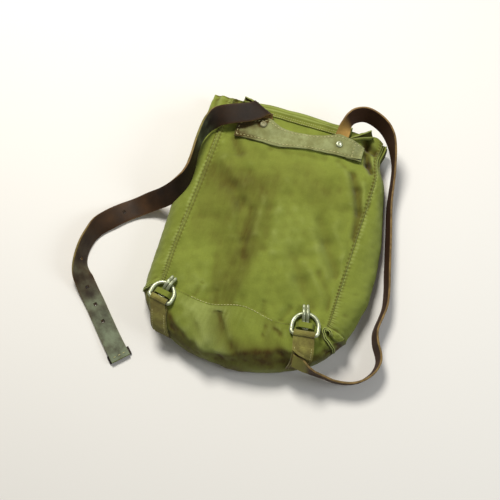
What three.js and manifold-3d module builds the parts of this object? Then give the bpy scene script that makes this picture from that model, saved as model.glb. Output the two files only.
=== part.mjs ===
// A small canvas field pack with leather shoulder straps, lying on its front with its back panel up.
// Millimetres, +Z up. The pack rests on z = 0, +Y runs from its bottom to its mouth, and the origin is
// on the floor under the middle of the back panel.
import * as THREE from "three";
import { mergeVertices } from "three/addons/utils/BufferGeometryUtils.js";
import Module from "manifold-3d";

const wasm = await Module();
wasm.setup();

// Driving dimensions
const CANVAS = 1.5; // wall of the sack and flap
const GAP = 0.3; // kept between neighbouring pieces
const WEBBING = { width: 25, thick: 1.8 };
const YOKE_THICK = 2.4;
const STRAP = { width: 26, tipWidth: 24, thick: 2.8, holeRadius: 2 };
const RIVET = { headRadius: 4.6, headHeight: 2.2, shankRadius: 2, holeRadius: 2.3 };
const D_RING = { halfWidth: 16, legs: 9, wireRadius: 2.5 };
const HOOK = { wireRadius: 1.9, halfSpacing: 3, tipPastRing: 3.5, tipLift: 2.2, footLength: 8 };
const HOOK_LOOP = { halfLength: 11.5, width: 7 };
const FLAP = { left: -74, right: 64, frontEnd: -24 };
const PANEL_CROWN = 6; // how far the middle of the back panel stands above its seams
const SEAM_RIB = { height: 1.1, width: 0.045 }; // lapped side seam, its width as a share of the panel's
const SIDE_ROUND = 1.12; // exponents of the rounded sections: lower is boxier
const BOTTOM_ROUND = 0.72;
const BULGE_DROP = 0.72; // share of the way from seam to foot at which a section is widest
const RUFFLE = { height: 2.6, waves: 4.5, reach: 0.9 }; // gathers of a gusset at the mouth
const MOUTH_EAR = { x: 92, reach: 11, out: 11 }; // corner of the mouth that stands out on the right
const EAR = { height: 9, thick: 2.2, wave: 2.6 }; // seam allowance that stands out at a bottom corner

const table = (columns, rows) =>
  rows.map((row) => Object.fromEntries(columns.map((name, i) => [name, row[i]])));

// Sections of the strip that joins the back panel to the front panel, from the mouth down one side.
// seam is its edge on the back panel, bulge its furthest point outwards, foot its edge on the floor.
const SECTION = ["seamX", "seamY", "seamZ", "bulgeX", "bulgeY", "bulgeZ", "footX", "footY"];
const LEFT_SIDE = table(SECTION, [
  [-104, 146, 29, -130, 149, 15, -121, 146],
  [-105, 88, 37, -133, 89, 14, -124, 89],
  [-106, 0, 43, -135, 0, 14, -126, 0],
  [-109, -80, 46, -134, -82, 14, -125, -81],
  [-108, -133, 45, -131, -143, 14, -123, -139],
]);
const BOTTOM_END = table(SECTION, [
  [-108, -133, 45, -131, -143, 14, -123, -139],
  [-82, -138, 49, -98, -182, 13, -93, -173],
  [-40, -142, 51, -47, -201, 12, -45, -191],
  [0, -139, 52, 2, -206, 12, 2, -196],
  [45, -137, 51, 58, -195, 12, 54, -186],
  [84, -132, 49, 108, -167, 13, 101, -160],
  [108, -127, 45, 134, -133, 14, 126, -130],
]);
const RIGHT_SIDE = table(SECTION, [
  [108, -127, 45, 134, -133, 14, 126, -130],
  [109, -78, 45, 147, -72, 14, 138, -73],
  [111, 0, 43, 144, 0, 14, 135, 0],
  [113, 80, 37, 129, 78, 14, 121, 78],
  [109, 139, 27, 116, 141, 15, 108, 138],
]);
const MOUTH_EDGE = table(
  ["x", "y", "z"],
  [
    [-104, 146, 29],
    [-66, 144, 32.5],
    [-22, 143.5, 34],
    [26, 143.5, 34],
    [70, 144, 32],
    [109, 139, 27],
  ],
);

// Dents and folds of the back panel: a groove runs from (x, y) along (runX, runY), half as deep at
// the width given. A negative depth is a ridge.
const PANEL_FOLDS = table(
  ["x", "y", "runX", "runY", "width", "depth"],
  [
    [96, 126, 4, -58, 7, 8],
    [84, 60, -8, -70, 16, 3.5],
    [-12, 60, 8, -130, 24, 4],
    [-88, 70, 30, -30, 12, 2.5],
    [-30, 74, 60, 6, 14, 2.5],
    [50, -60, -10, -60, 14, 2],
  ],
);
// Folds of the bottom: at counts along BOTTOM_END, drop is the share of the way from seam to foot.
const BOTTOM_FOLDS = table(
  ["at", "drop", "reach", "width", "depth"],
  [
    [2.55, 0.3, 0.3, 0.16, 6],
    [2.2, 0.34, 0.26, 0.16, -3],
    [4.1, 0.24, 0.26, 0.14, 4],
    [4.45, 0.3, 0.3, 0.15, -2.5],
    [5.55, 0.35, 0.3, 0.12, 5],
  ],
);

// Plan of the yoke, the web band that carries the straps, from its left end to its right end
const YOKE_PLAN = table(
  ["x", "lowY", "highY"],
  [
    [-85, 90, 113],
    [-78, 90, 117],
    [-62, 91, 125],
    [-44, 93, 126],
    [-28, 95, 122.5],
    [-8, 97.5, 121],
    [20, 100.5, 122.5],
    [42, 102.5, 126.5],
    [54, 103.5, 129],
    [66, 104.5, 129],
    [78, 105.5, 126],
    [88, 107, 119],
  ],
);
const RIVET_PLACES = {
  left: { x: -50, y: 113, heading: 110 },
  right: { x: 54, y: 114, heading: 90 },
};

// The straps, from the yoke on. across is the compass direction from the middle to the edge on the
// right of travel at the yoke, and lean how far that edge tips up, both in degrees.
const STRAP_ROW = ["x", "y", "z", "across", "lean"];
const LEFT_STRAP_FREE = table(STRAP_ROW, [
  [-55, 129, 42.8, 6, 0],
  [-56.6, 132.6, 45.2, -12, 0],
  [-57, 133.8, 48.6, -24, 0],
  [-59, 131.6, 51.8, -35, 0],
  [-65, 126, 53.2, -48, -3],
  [-75.5, 120, 53.6, -62, -6],
  [-97, 112, 53.4, -66, -10],
  [-111.5, 104, 53, -50, -24],
  [-121, 90, 52.5, -24, -48],
  [-124, 72, 52, -5, -68],
  [-124.5, 54.5, 52, 2, -73],
  [-123, 37.5, 53, 2, -70],
  [-122.5, 21.5, 53.5, -10, -58],
  [-126, 7, 51, -30, -34],
  [-133, -5, 43.5, -44, -14],
  [-146, -14.5, 28, -52, -6],
  [-162, -22.5, 12.5, -54, -2],
  [-178.5, -33, 3.8, -50, 0],
  [-193.5, -45, 1.6, -44, 0],
  [-206.5, -59, 3.8, -38, -8],
  [-217, -74, 7.4, -26, -26],
  [-222.5, -89, 10.4, -14, -42],
  [-225.3, -103, 12, -4, -53],
  [-225.5, -117, 12.3, 5, -55],
  [-223, -130, 11.6, 15, -50],
  [-218, -141, 9.4, 28, -36],
  [-211, -150, 5.8, 38, -18],
  [-200.5, -161.5, 2.6, 43, -4],
  [-188.5, -173.5, 1.6, 45, 0],
  [-175, -188, 1.6, 45, 0],
  [-161, -203, 2.2, 45, 0],
  [-147, -217.5, 3.6, 45, 0],
  [-131, -233, 4.6, 45, 0],
]);
const RIGHT_STRAP_FREE = table(STRAP_ROW, [
  [54.4, 132, 44, 0, -8],
  [55.4, 142.5, 48.5, -4, -26],
  [57.6, 152.5, 50.5, -16, -42],
  [64.3, 161.5, 50.5, -50, -50],
  [76.5, 167.5, 49, -85, -50],
  [91, 165.5, 46.5, -108, -52],
  [105.6, 158, 43, -128, -55],
  [117.4, 147, 38, -142, -62],
  [125.5, 134.5, 32, -152, -70],
  [131.3, 121, 25.5, -160, -76],
  [135, 105, 19, -170, -80],
  [137, 88, 15, -174, -82],
  [141.5, 61, 13.4, -171, -82],
  [151, 14, 13.4, -168, -82],
  [160, -26, 13.4, -171, -82],
  [164.6, -48, 13.4, -177, -82],
  [164.4, -71, 13.4, -182, -82],
  [164.2, -99, 13.4, -178, -82],
  [167.5, -116, 13.4, -158, -82],
  [175.5, -132, 13.4, -160, -82],
  [177.8, -147, 13.4, -190, -82],
  [171.8, -161.5, 13.4, -220, -82],
  [156.3, -175, 13.4, -242, -82],
  [133, -181, 13.2, -256, -75],
  [116, -181.5, 13.8, -258, -76],
  [103, -184, 19, -262, -86],
  [93.5, -186.3, 26.5, -285, -104],
  [85.3, -185.3, 33, -304, -121],
  [75.9, -184.5, 38, -304, -131],
]);
const STRAP_HOLES = [18, 23.6, 26.6, 28.1, 29.4]; // along the left strap's free rows
const STRAP_STOP = { length: 30, width: 11, thick: 2.2, fromTip: 6 }; // leather bar sewn under the tip

// Each ring lies with its bar towards the bottom of the pack, on a web tab that runs down the bottom.
// The turns are of the ring, of the hook on it and of the tab's lower end, in degrees.
const CORNERS = {
  left: { bar: [-103, -153, 48], turn: -11, hookTurn: -33, end: [-94, -185, 22], endTurn: -28 },
  right: { bar: [80.5, -147, 48], turn: 8, hookTurn: 14, end: [86, -182, 25], endTurn: 16 },
};
const TAB_RETURN = 0.42; // share of the tab that is double

const xyz = (x, y, z) => new THREE.Vector3(x, y, z);
const UP = xyz(0, 0, 1);
const radians = THREE.MathUtils.degToRad;
const degrees = THREE.MathUtils.radToDeg;
const lerp = THREE.MathUtils.lerp;
const clamp01 = (value) => Math.min(1, Math.max(0, value));
const smooth = (value) => THREE.MathUtils.smoothstep(value, 0, 1);
const hump = (distance) => Math.exp(-distance * distance * Math.LN2);
const steps = (count) => Array.from({ length: count + 1 }, (_, i) => i / count);
const compass = (angle) => xyz(Math.cos(radians(angle)), Math.sin(radians(angle)), 0);

// Row of a table at a fractional place, on a Catmull-Rom curve through its rows
function between(rows, at) {
  const first = Math.min(Math.max(Math.floor(at), 0), rows.length - 2);
  const near = [-1, 0, 1, 2].map((k) => rows[Math.min(Math.max(first + k, 0), rows.length - 1)]);
  const f = at - first;
  const curve = ([a, b, c, d]) =>
    b + 0.5 * f * (c - a + f * (2 * a - 5 * b + 4 * c - d + f * (3 * (b - c) + d - a)));
  return Object.fromEntries(Object.keys(rows[0]).map((key) => [key, curve(near.map((row) => row[key]))]));
}

// A closed wall between two faces, each a function of u and v over the unit square
function wall(outer, inner, us, vs) {
  const positions = [outer, inner].flatMap((face) =>
    us.flatMap((u) => vs.flatMap((v) => face(u, v).toArray())),
  );
  const [lastU, lastV] = [us.length - 1, vs.length - 1];
  const at = (side, i, j) => (side * us.length + i) * vs.length + j;
  const triangles = [];
  const quad = (a, b, c, d) => triangles.push(a, b, c, a, c, d);
  for (let i = 0; i < lastU; i++) {
    for (let j = 0; j < lastV; j++) {
      quad(at(0, i, j), at(0, i + 1, j), at(0, i + 1, j + 1), at(0, i, j + 1));
      quad(at(1, i, j), at(1, i, j + 1), at(1, i + 1, j + 1), at(1, i + 1, j));
    }
    quad(at(0, i, 0), at(1, i, 0), at(1, i + 1, 0), at(0, i + 1, 0));
    quad(at(0, i, lastV), at(0, i + 1, lastV), at(1, i + 1, lastV), at(1, i, lastV));
  }
  for (let j = 0; j < lastV; j++) {
    quad(at(0, 0, j), at(0, 0, j + 1), at(1, 0, j + 1), at(1, 0, j));
    quad(at(0, lastU, j), at(1, lastU, j), at(1, lastU, j + 1), at(0, lastU, j + 1));
  }
  return facingOut(positions, triangles);
}

function facingOut(positions, triangles) {
  const corner = (k) => new THREE.Vector3().fromArray(positions, 3 * triangles[k]);
  let volume = 0;
  for (let k = 0; k < triangles.length; k += 3) {
    volume += corner(k).dot(corner(k + 1).cross(corner(k + 2)));
  }
  const geometry = new THREE.BufferGeometry();
  geometry.setAttribute("position", new THREE.Float32BufferAttribute(positions, 3));
  geometry.setIndex(volume < 0 ? triangles.slice().reverse() : triangles);
  return geometry;
}

// A face moved along its own normal
function offset(face, distance) {
  const STEP = 1e-3;
  return (u, v) => {
    const alongU = face(u + STEP, v).sub(face(u - STEP, v));
    const alongV = face(u, v + STEP).sub(face(u, v - STEP));
    return face(u, v).addScaledVector(alongU.cross(alongV).normalize(), distance);
  };
}

// Frames { centre, across, face } of a band along a path: across is half its width, face its normal
function frames(centres, acrossAt, widthAt) {
  return centres.map((centre, i) => {
    const before = centres[Math.max(i - 1, 0)];
    const tangent = centres[Math.min(i + 1, centres.length - 1)].clone().sub(before).normalize();
    const across = acrossAt(i).normalize();
    const slant = Math.sqrt(1 - across.dot(tangent) ** 2);
    const face = tangent.clone().cross(across).normalize();
    return { centre, across: across.multiplyScalar(widthAt(i) / 2 / slant), face };
  });
}

function band(bandFrames, thick) {
  const side = (sign) => (u, v) => {
    const { centre, across, face } = bandFrames[Math.round(u * (bandFrames.length - 1))];
    return centre.clone().addScaledVector(across, 2 * v - 1).addScaledVector(face, (sign * thick) / 2);
  };
  return wall(side(1), side(-1), steps(bandFrames.length - 1), [0, 1]);
}

// A tube with closed ends through the points given
function wire(points, radius, count) {
  const section = new THREE.Shape().absarc(0, 0, radius, 0, 2 * Math.PI, false);
  return new THREE.ExtrudeGeometry(section, {
    curveSegments: 4,
    steps: count,
    bevelEnabled: false,
    extrudePath: new THREE.CatmullRomCurve3(points),
  });
}

function solidOf(geometry) {
  const bare = geometry.clone();
  bare.deleteAttribute("normal");
  bare.deleteAttribute("uv");
  const merged = mergeVertices(bare, 1e-4);
  return new wasm.Manifold(
    new wasm.Mesh({
      numProp: 3,
      vertProperties: new Float32Array(merged.attributes.position.array),
      triVerts: new Uint32Array(merged.index.array),
    }),
  );
}

function geometryOf(solid) {
  const { numProp, vertProperties, triVerts } = solid.getMesh();
  const positions = [];
  for (let i = 0; i < vertProperties.length; i += numProp) {
    positions.push(...vertProperties.slice(i, i + 3));
  }
  const geometry = new THREE.BufferGeometry();
  geometry.setAttribute("position", new THREE.Float32BufferAttribute(positions, 3));
  geometry.setIndex([...triVerts]);
  return geometry;
}

// A geometry with round holes, each { point, axis, radius }
function drilled(geometry, holes) {
  const DRILL_LENGTH = 12;
  const cut = holes.reduce((solid, { point, axis, radius }) => {
    const drill = new THREE.CylinderGeometry(radius, radius, DRILL_LENGTH, 10);
    drill.applyQuaternion(new THREE.Quaternion().setFromUnitVectors(xyz(0, 1, 0), axis));
    drill.translate(point.x, point.y, point.z);
    return solid.subtract(solidOf(drill));
  }, solidOf(geometry));
  return geometryOf(cut);
}

// Materials
const finish = (color, roughness, metalness = 0) =>
  new THREE.MeshStandardMaterial({ color, roughness, metalness, side: THREE.DoubleSide });
const canvasCloth = finish(0x66712e, 0.9);
const webCloth = finish(0x7d8058, 0.9);
const tabCloth = finish(0x6a6434, 0.9);
const leather = finish(0x2e1b16, 0.5);
const greyMetal = finish(0xa7b39b, 0.45, 0.6);

const pack = new THREE.Group();
function add(name, geometry, material) {
  const mesh = new THREE.Mesh(geometry, material);
  mesh.name = name;
  pack.add(mesh);
  return mesh;
}

// Height of the highest of some meshes over a point of the plan
const ABOVE_ALL = 200;
function heightOver(meshes) {
  meshes.forEach((mesh) => mesh.updateMatrixWorld(true));
  const known = new Map();
  return (x, y) => {
    const key = `${x.toFixed(3)} ${y.toFixed(3)}`;
    if (!known.has(key)) {
      const hits = new THREE.Raycaster(xyz(x, y, ABOVE_ALL), xyz(0, 0, -1)).intersectObjects(meshes, false);
      known.set(key, hits.length ? hits[0].point.z : 0);
    }
    return known.get(key);
  };
}

// The strip of gussets and bottom: one section, from its seam (drop 0) to its foot (drop 1).
// The wall's inner face is the same section drawn in by the wall's thickness.
function sectionPoint(row, drop, round, inset) {
  const outward = xyz(row.bulgeX - row.seamX, row.bulgeY - row.seamY, 0).normalize();
  const seam = xyz(row.seamX, row.seamY, row.seamZ - inset).addScaledVector(outward, GAP);
  const bulge = xyz(row.bulgeX, row.bulgeY, row.bulgeZ).addScaledVector(outward, -inset);
  const foot = xyz(row.footX, row.footY, inset);
  const upper = drop < BULGE_DROP;
  const turn = (Math.PI / 2) * clamp01(upper ? drop / BULGE_DROP : (1 - drop) / (1 - BULGE_DROP));
  const power = upper ? round : 1;
  const end = upper ? seam : foot;
  const point = end.clone().lerp(bulge, Math.sin(turn) ** power);
  point.z = bulge.z + (end.z - bulge.z) * Math.cos(turn) ** power;
  return point;
}

// A face of the strip. shape(at, drop) gives how far its folds press it inwards.
function stripFace(rows, round, inset, shape) {
  const SEWN = 0.004; // share of the strip kept clear of its neighbour at each end
  return (u, drop) => {
    const at = (SEWN + u * (1 - 2 * SEWN)) * (rows.length - 1);
    const row = between(rows, at);
    const inward = xyz(row.seamX - row.bulgeX, row.seamY - row.bulgeY, -25).normalize();
    return sectionPoint(row, drop, round, inset).addScaledVector(inward, shape(at, drop));
  };
}

function strip(name, rows, round, count, shape) {
  const DROPS = [0, 0.14, 0.28, 0.42, 0.54, 0.64, 0.72, 0.82, 0.91, 1];
  const face = (inset) => stripFace(rows, round, inset, shape);
  return add(name, wall(face(0), face(CANVAS), steps(count), DROPS), canvasCloth);
}

// Gathers of a gusset, which fade out away from the mouth and at its two sewn edges
function ruffle(fromMouth, drop) {
  const fade = smooth(1 - fromMouth / RUFFLE.reach) * smooth(Math.min(drop, 1 - drop) / 0.2);
  return RUFFLE.height * Math.sin(2 * Math.PI * RUFFLE.waves * drop) * fade;
}

function bottomDent(at, drop) {
  const dent = BOTTOM_FOLDS.reduce((sum, fold) => {
    const sideways = hump((at - fold.at - 0.5 * (drop - fold.drop)) / fold.width);
    return sum + fold.depth * sideways * hump((drop - fold.drop) / fold.reach);
  }, 0);
  return dent * smooth(drop / 0.15) * smooth((1 - drop) / 0.4);
}

const gussetLeft = strip("gusset_left", LEFT_SIDE, SIDE_ROUND, 16, (at, drop) => ruffle(at, drop));
const bottomPanel = strip("bottom_panel", BOTTOM_END, BOTTOM_ROUND, 26, bottomDent);
const gussetRight = strip("gusset_right", RIGHT_SIDE, SIDE_ROUND, 16, (at, drop) => -ruffle(4 - at, drop));

// The back panel is a patch between the side seams, the bottom seam and the edge of the mouth.
function foldDepth(point) {
  return PANEL_FOLDS.reduce((sum, fold) => {
    const run = new THREE.Vector2(fold.runX, fold.runY);
    const from = new THREE.Vector2(point.x - fold.x, point.y - fold.y);
    const along = clamp01(from.dot(run) / run.lengthSq());
    const away = from.sub(run.multiplyScalar(along)).length();
    return sum + fold.depth * hump(away / fold.width);
  }, 0);
}

function backPanelFace(inset) {
  const along = (rows, share) => between(rows, share * (rows.length - 1));
  const seam = (row) => xyz(row.seamX, row.seamY, row.seamZ);
  const left = (v) => seam(along(LEFT_SIDE, 1 - v));
  const right = (v) => seam(along(RIGHT_SIDE, v));
  const bottom = (u) => seam(along(BOTTOM_END, u));
  const top = (u) => {
    const { x, y, z } = along(MOUTH_EDGE, u);
    return xyz(x, y, z);
  };
  return (u, v) => {
    const point = left(v).lerp(right(v), u).add(bottom(u).lerp(top(u), v));
    point.sub(left(0).lerp(right(0), u).lerp(left(1).lerp(right(1), u), v));
    const side = Math.min(u, 1 - u);
    const inside = smooth(side / 0.2) * smooth(v / 0.15) * smooth((1 - v) / 0.08);
    const rib = SEAM_RIB.height * hump(Math.max(side - SEAM_RIB.width, 0) / 0.008);
    point.y += MOUTH_EAR.out * hump((point.x - MOUTH_EAR.x) / MOUTH_EAR.reach) * smooth((v - 0.85) / 0.15);
    point.z += PANEL_CROWN * 4 * u * (1 - u) * smooth((1 - v) / 0.5) * smooth(v / 0.25);
    point.z += rib * smooth(Math.min(v, 1 - v) / 0.05) * smooth(side / 0.01);
    point.z -= foldDepth(point) * inside + inset;
    return point;
  };
}

const PANEL_COLUMNS = [0, 0.01, 0.04, 0.058, ...steps(14).map((s) => 0.1 + 0.8 * s), 0.942, 0.96, 0.99, 1];
const backPanel = add(
  "back_panel",
  wall(backPanelFace(0), backPanelFace(CANVAS), PANEL_COLUMNS, steps(22)),
  canvasCloth,
);
const sack = [backPanel, bottomPanel, gussetLeft, gussetRight];
const sackHeight = heightOver(sack);

// The front panel lies on the floor, and on the flap where the flap is folded under it.
function frontPanelFace(inset) {
  const ENDS_AT = 0.96; // of the way from the mouth to the middle of the bottom
  const CLEAR = 1.2; // kept inside the foot of the gussets
  const MARGIN = 26; // level part beyond the edges of the flap
  const RAMP = 16;
  const foot = (rows, share) => {
    const { footX, footY } = between(rows, share * (rows.length - 1));
    return xyz(footX, footY, 0);
  };
  const drawnIn = (point) => point.addScaledVector(point.clone().normalize(), -CLEAR);
  return (u, v) => {
    const way = 2 * v * ENDS_AT;
    const left = way < 1 ? foot(LEFT_SIDE, way) : foot(BOTTOM_END, (way - 1) / 2);
    const right = way < 1 ? foot(RIGHT_SIDE, 1 - way) : foot(BOTTOM_END, 1 - (way - 1) / 2);
    const point = drawnIn(left).lerp(drawnIn(right), u);
    const inside = Math.min(point.x - FLAP.left, FLAP.right - point.x, point.y - FLAP.frontEnd);
    point.z = (CANVAS + GAP) * smooth(1 + (inside + MARGIN) / RAMP) + inset;
    return point;
  };
}
add("front_panel", wall(frontPanelFace(CANVAS), frontPanelFace(0), steps(12), steps(14)), canvasCloth);

// The flap is sewn over the top of the back panel, folds round the mouth and lies under the front.
// ride says how much of the back panel's height its outer face takes.
const FLAP_PROFILE = table(
  ["y", "ride"],
  [
    [131, 1],
    [136, 1],
    [141, 1],
    [145.5, 0.97],
    [149.5, 0.85],
    [151.8, 0.65],
    [152.5, 0.42],
    [151.5, 0.2],
    [148.5, 0.05],
    [144, 0],
    [138, 0],
    [110, 0],
    [60, 0],
    [15, 0],
    [FLAP.frontEnd, 0],
  ],
);
const flapFace = (u, v) => {
  const x = lerp(FLAP.left, FLAP.right, u);
  const { y, ride } = between(FLAP_PROFILE, v * (FLAP_PROFILE.length - 1));
  const top = sackHeight(x, Math.min(y, 137)) + 2 * GAP + CANVAS;
  return xyz(x, y, Math.max(0, ride * top));
};
const flap = add("flap", wall(flapFace, offset(flapFace, -CANVAS), steps(6), steps(24)), canvasCloth);

// The first rows of a strap lie on the canvas, under the yoke.
function rootRows({ x, y, heading }) {
  const across = compass(heading - 90);
  return [-9, 0, 9].map((ahead) => {
    const middle = xyz(x, y, 0).addScaledVector(compass(heading), ahead);
    const z = highestUnder(middle, across, STRAP.width / 2) + 2.5 * GAP + STRAP.thick / 2;
    return { x: middle.x, y: middle.y, z, across: heading - 90, lean: 0 };
  });
}

// Highest canvas under a straight line of the plan
function highestUnder(middle, direction, half) {
  const places = [-1, -0.5, 0, 0.5, 1].map((k) => middle.clone().addScaledVector(direction, k * half));
  return Math.max(...places.map(({ x, y }) => sackHeight(x, y)));
}

const STRAP_STEP = 2; // bands between two rows of a strap
function strapFrames(rows) {
  const count = (rows.length - 1) * STRAP_STEP;
  const rowAt = (i) => between(rows, i / STRAP_STEP);
  const centres = Array.from({ length: count + 1 }, (_, i) => {
    const { x, y, z } = rowAt(i);
    return xyz(x, y, z);
  });
  const acrossAt = (i) => {
    const { across, lean } = rowAt(i);
    return compass(across).multiplyScalar(Math.cos(radians(lean))).setZ(Math.sin(radians(lean)));
  };
  const widthAt = (i) => lerp(STRAP.width, STRAP.tipWidth, smooth((i / count - 0.6) / 0.4));
  return frames(centres, acrossAt, widthAt);
}

// The corners: a ring on its tab, and the hook that is closed over the ring
function dRingGeometry() {
  const { halfWidth, legs, wireRadius } = D_RING;
  const CORNER = 4;
  const outline = new THREE.Path();
  outline.moveTo(-halfWidth + CORNER, 0);
  outline.lineTo(halfWidth - CORNER, 0);
  outline.absarc(halfWidth - CORNER, CORNER, CORNER, -Math.PI / 2, 0, false);
  outline.lineTo(halfWidth, legs);
  outline.absarc(0, legs, halfWidth, 0, Math.PI, false);
  outline.lineTo(-halfWidth, CORNER);
  outline.absarc(-halfWidth + CORNER, CORNER, CORNER, Math.PI, 1.5 * Math.PI, false);
  const places = outline.getSpacedPoints(30).slice(0, -1);
  const path = new THREE.CatmullRomCurve3(places.map(({ x, y }) => xyz(x, y, 0)), true);
  return new THREE.TubeGeometry(path, 28, wireRadius, 8, true);
}

// Place of the bottom panel nearest to a point
const bottomFace = stripFace(BOTTOM_END, BOTTOM_ROUND, 0, bottomDent);
function onBottom(point) {
  const target = new THREE.Vector3(...point);
  const places = steps(150).flatMap((u) => steps(36).map((s) => [u, s * BULGE_DROP]));
  const away = ([u, drop]) => bottomFace(u, drop).distanceTo(target);
  return places.reduce((best, place) => (away(place) < away(best) ? place : best));
}

// How far the bottom stands out of a straight line that is laid against it
function standsOut(middle, across, half, out) {
  const FAR = 40;
  const heights = [-1, -0.6, -0.2, 0.2, 0.6, 1].map((k) => {
    const start = middle.clone().addScaledVector(across, k * half).addScaledVector(out, FAR);
    const hits = new THREE.Raycaster(start, out.clone().negate(), 0, 2 * FAR).intersectObject(bottomPanel);
    return hits.length ? FAR - hits[0].distance : -FAR;
  });
  return Math.max(...heights);
}

// The tab's way down from the bar: places on the canvas with the directions down, across and out of it
function tabWay({ bar, turn, end, endTurn }) {
  const [first, last] = [onBottom(bar), onBottom(end)];
  const place = (share) => bottomFace(lerp(first[0], last[0], share), lerp(first[1], last[1], share));
  return (share) => {
    const run = place(share + 0.05).sub(place(share - 0.05));
    const across = compass(lerp(turn, endTurn, smooth(share)));
    const down = run.addScaledVector(across, -run.dot(across)).normalize();
    const out = down.clone().cross(across).normalize();
    const middle = place(share);
    const point = middle.addScaledVector(out, standsOut(middle, across, WEBBING.width / 2, out));
    return { point, down, across, out };
  };
}

const ringFrames = Object.entries(CORNERS).map(([side, corner]) => {
  const bar = tabWay(corner)(0).point;
  const along = compass(corner.turn);
  const ahead = compass(corner.turn + 90);
  const bow = bar.clone().addScaledVector(ahead, D_RING.legs + D_RING.halfWidth);
  bar.z = highestUnder(bar, along, WEBBING.width / 2) + WEBBING.thick + 3 * GAP + D_RING.wireRadius;
  bow.z = highestUnder(bow, along, 7) + GAP + D_RING.wireRadius;
  const ringAhead = bow.clone().sub(bar).normalize();
  const ringUp = along.clone().cross(ringAhead).normalize();
  return { side, corner, bar, along, ahead, ringAhead, ringUp };
});

for (const { side, corner, bar, along, ahead, ringAhead, ringUp } of ringFrames) {
  const ring = add(`d_ring_${side}`, dRingGeometry(), greyMetal);
  ring.quaternion.setFromRotationMatrix(new THREE.Matrix4().makeBasis(along, ringAhead, ringUp));
  ring.position.copy(bar);

  // The hook is a hairpin of wire that comes up inside the ring and closes over its bow.
  const over = D_RING.wireRadius + 2 * GAP + HOOK.wireRadius;
  const hookAhead = ringUp.clone().cross(compass(corner.hookTurn)).normalize();
  const hookAlong = hookAhead.clone().cross(ringUp);
  const ringMiddle = bar.clone().addScaledVector(ringAhead, D_RING.legs);
  const bowTop = ringMiddle.clone().addScaledVector(hookAhead, D_RING.halfWidth);
  const leg = (sign) => {
    const shift = hookAlong.clone().multiplyScalar(sign * HOOK.halfSpacing);
    const polar = (angle, radius) =>
      bowTop.clone().add(shift)
        .addScaledVector(hookAhead, -Math.cos(radians(angle)) * radius)
        .addScaledVector(ringUp, Math.sin(radians(angle)) * radius);
    const laid = (back) => {
      const place = polar(0, back);
      place.z = highestUnder(place, hookAlong, HOOK.wireRadius) + 2 * GAP + HOOK.wireRadius;
      return place;
    };
    const tip = polar(180, over + HOOK.tipPastRing).addScaledVector(ringUp, HOOK.tipLift);
    const bend = [[25, 1.6], [65, 0.8], [110, 0.6], [150, 1.4]].map(([angle, more]) => polar(angle, over + more));
    return [laid(over + 5 + HOOK.footLength), laid(over + 5), ...bend, tip];
  };
  const nose = bowTop.clone().addScaledVector(hookAhead, over + HOOK.tipPastRing + HOOK.halfSpacing);
  nose.addScaledVector(ringUp, HOOK.tipLift);
  add(`hook_${side}`, wire([...leg(-1), nose, ...leg(1).reverse()], HOOK.wireRadius, 32), greyMetal);

  // The short web that holds the hook's feet down on the canvas
  const heldAt = ringMiddle.clone().addScaledVector(ringAhead, 1);
  const heldCentres = steps(14).map((s) => {
    const fromMiddle = (2 * s - 1) * HOOK_LOOP.halfLength;
    const place = heldAt.clone().addScaledVector(along, fromMiddle);
    const overWires = smooth((HOOK_LOOP.halfLength - Math.abs(fromMiddle) - 0.5) / 4);
    const rise = (2 * HOOK.wireRadius + 3 * GAP) * overWires;
    place.z = highestUnder(place, ahead, HOOK_LOOP.width / 2) + GAP + WEBBING.thick / 2 + 0.4 + rise;
    return place;
  });
  const held = frames(heldCentres, () => ahead.clone(), () => HOOK_LOOP.width);
  add(`hook_loop_${side}`, band(held, WEBBING.thick), canvasCloth);

  // The tab goes up the bottom of the pack, round the bar and back down over itself.
  const way = tabWay(corner);
  const clear = 2 * GAP + WEBBING.thick / 2;
  const laidOut = (share, distance) => {
    const { point, across, out } = way(share);
    return { point: point.addScaledVector(out, distance), across };
  };
  const wrapRadius = D_RING.wireRadius + 1.5 * GAP + WEBBING.thick / 2;
  const wrap = [-90, -50, -10, 30, 65, 100, 135, 165].map((angle) => {
    const point = bar.clone()
      .addScaledVector(ahead, Math.cos(radians(angle)) * wrapRadius)
      .addScaledVector(UP, Math.sin(radians(angle)) * wrapRadius);
    return { point, across: along };
  });
  const under = steps(12).map((s) => laidOut(lerp(1, 0.14, s), clear));
  const back = steps(5).map((s) => laidOut(lerp(0.26, TAB_RETURN, s), clear + WEBBING.thick + 1.5 * GAP));
  const stations = [...under, ...wrap, ...back];
  const tab = frames(stations.map(({ point }) => point), (i) => stations[i].across.clone(), () => WEBBING.width);
  add(`tab_${side}`, band(tab, WEBBING.thick), tabCloth);
}

const leftRows = [...rootRows(RIVET_PLACES.left), ...LEFT_STRAP_FREE];
const rightRows = [...rootRows(RIVET_PLACES.right), ...RIGHT_STRAP_FREE];
const leftFrames = strapFrames(leftRows);
const rightFrames = strapFrames(rightRows);

// The yoke is laid over the panel and over the root of each strap, with an easy slope between them.
const rootBands = [leftFrames, rightFrames].map(
  (strap) => new THREE.Mesh(band(strap.slice(0, 3 * STRAP_STEP + 2), STRAP.thick), leather),
);
const underYoke = heightOver([...sack, flap, ...rootBands]);
function draped(x, y) {
  const SLOPE = 0.6;
  const LEVEL = 5; // how far past a strap's edge it keeps the strap's height
  const around = [0, 2.5, 5, 7.5, 10].flatMap((radius) =>
    Array.from({ length: radius ? 12 : 1 }, (_, k) => {
      const { x: dx, y: dy } = compass(30 * k);
      return underYoke(x + radius * dx, y + radius * dy) - SLOPE * Math.max(0, radius - LEVEL);
    }),
  );
  return Math.max(...around) + 2 * GAP;
}
function yokeFace(height) {
  return (u, v) => {
    const { x, lowY, highY } = between(YOKE_PLAN, u * (YOKE_PLAN.length - 1));
    const y = lerp(lowY, highY, v);
    return xyz(x, y, draped(x, y) + height);
  };
}
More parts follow.
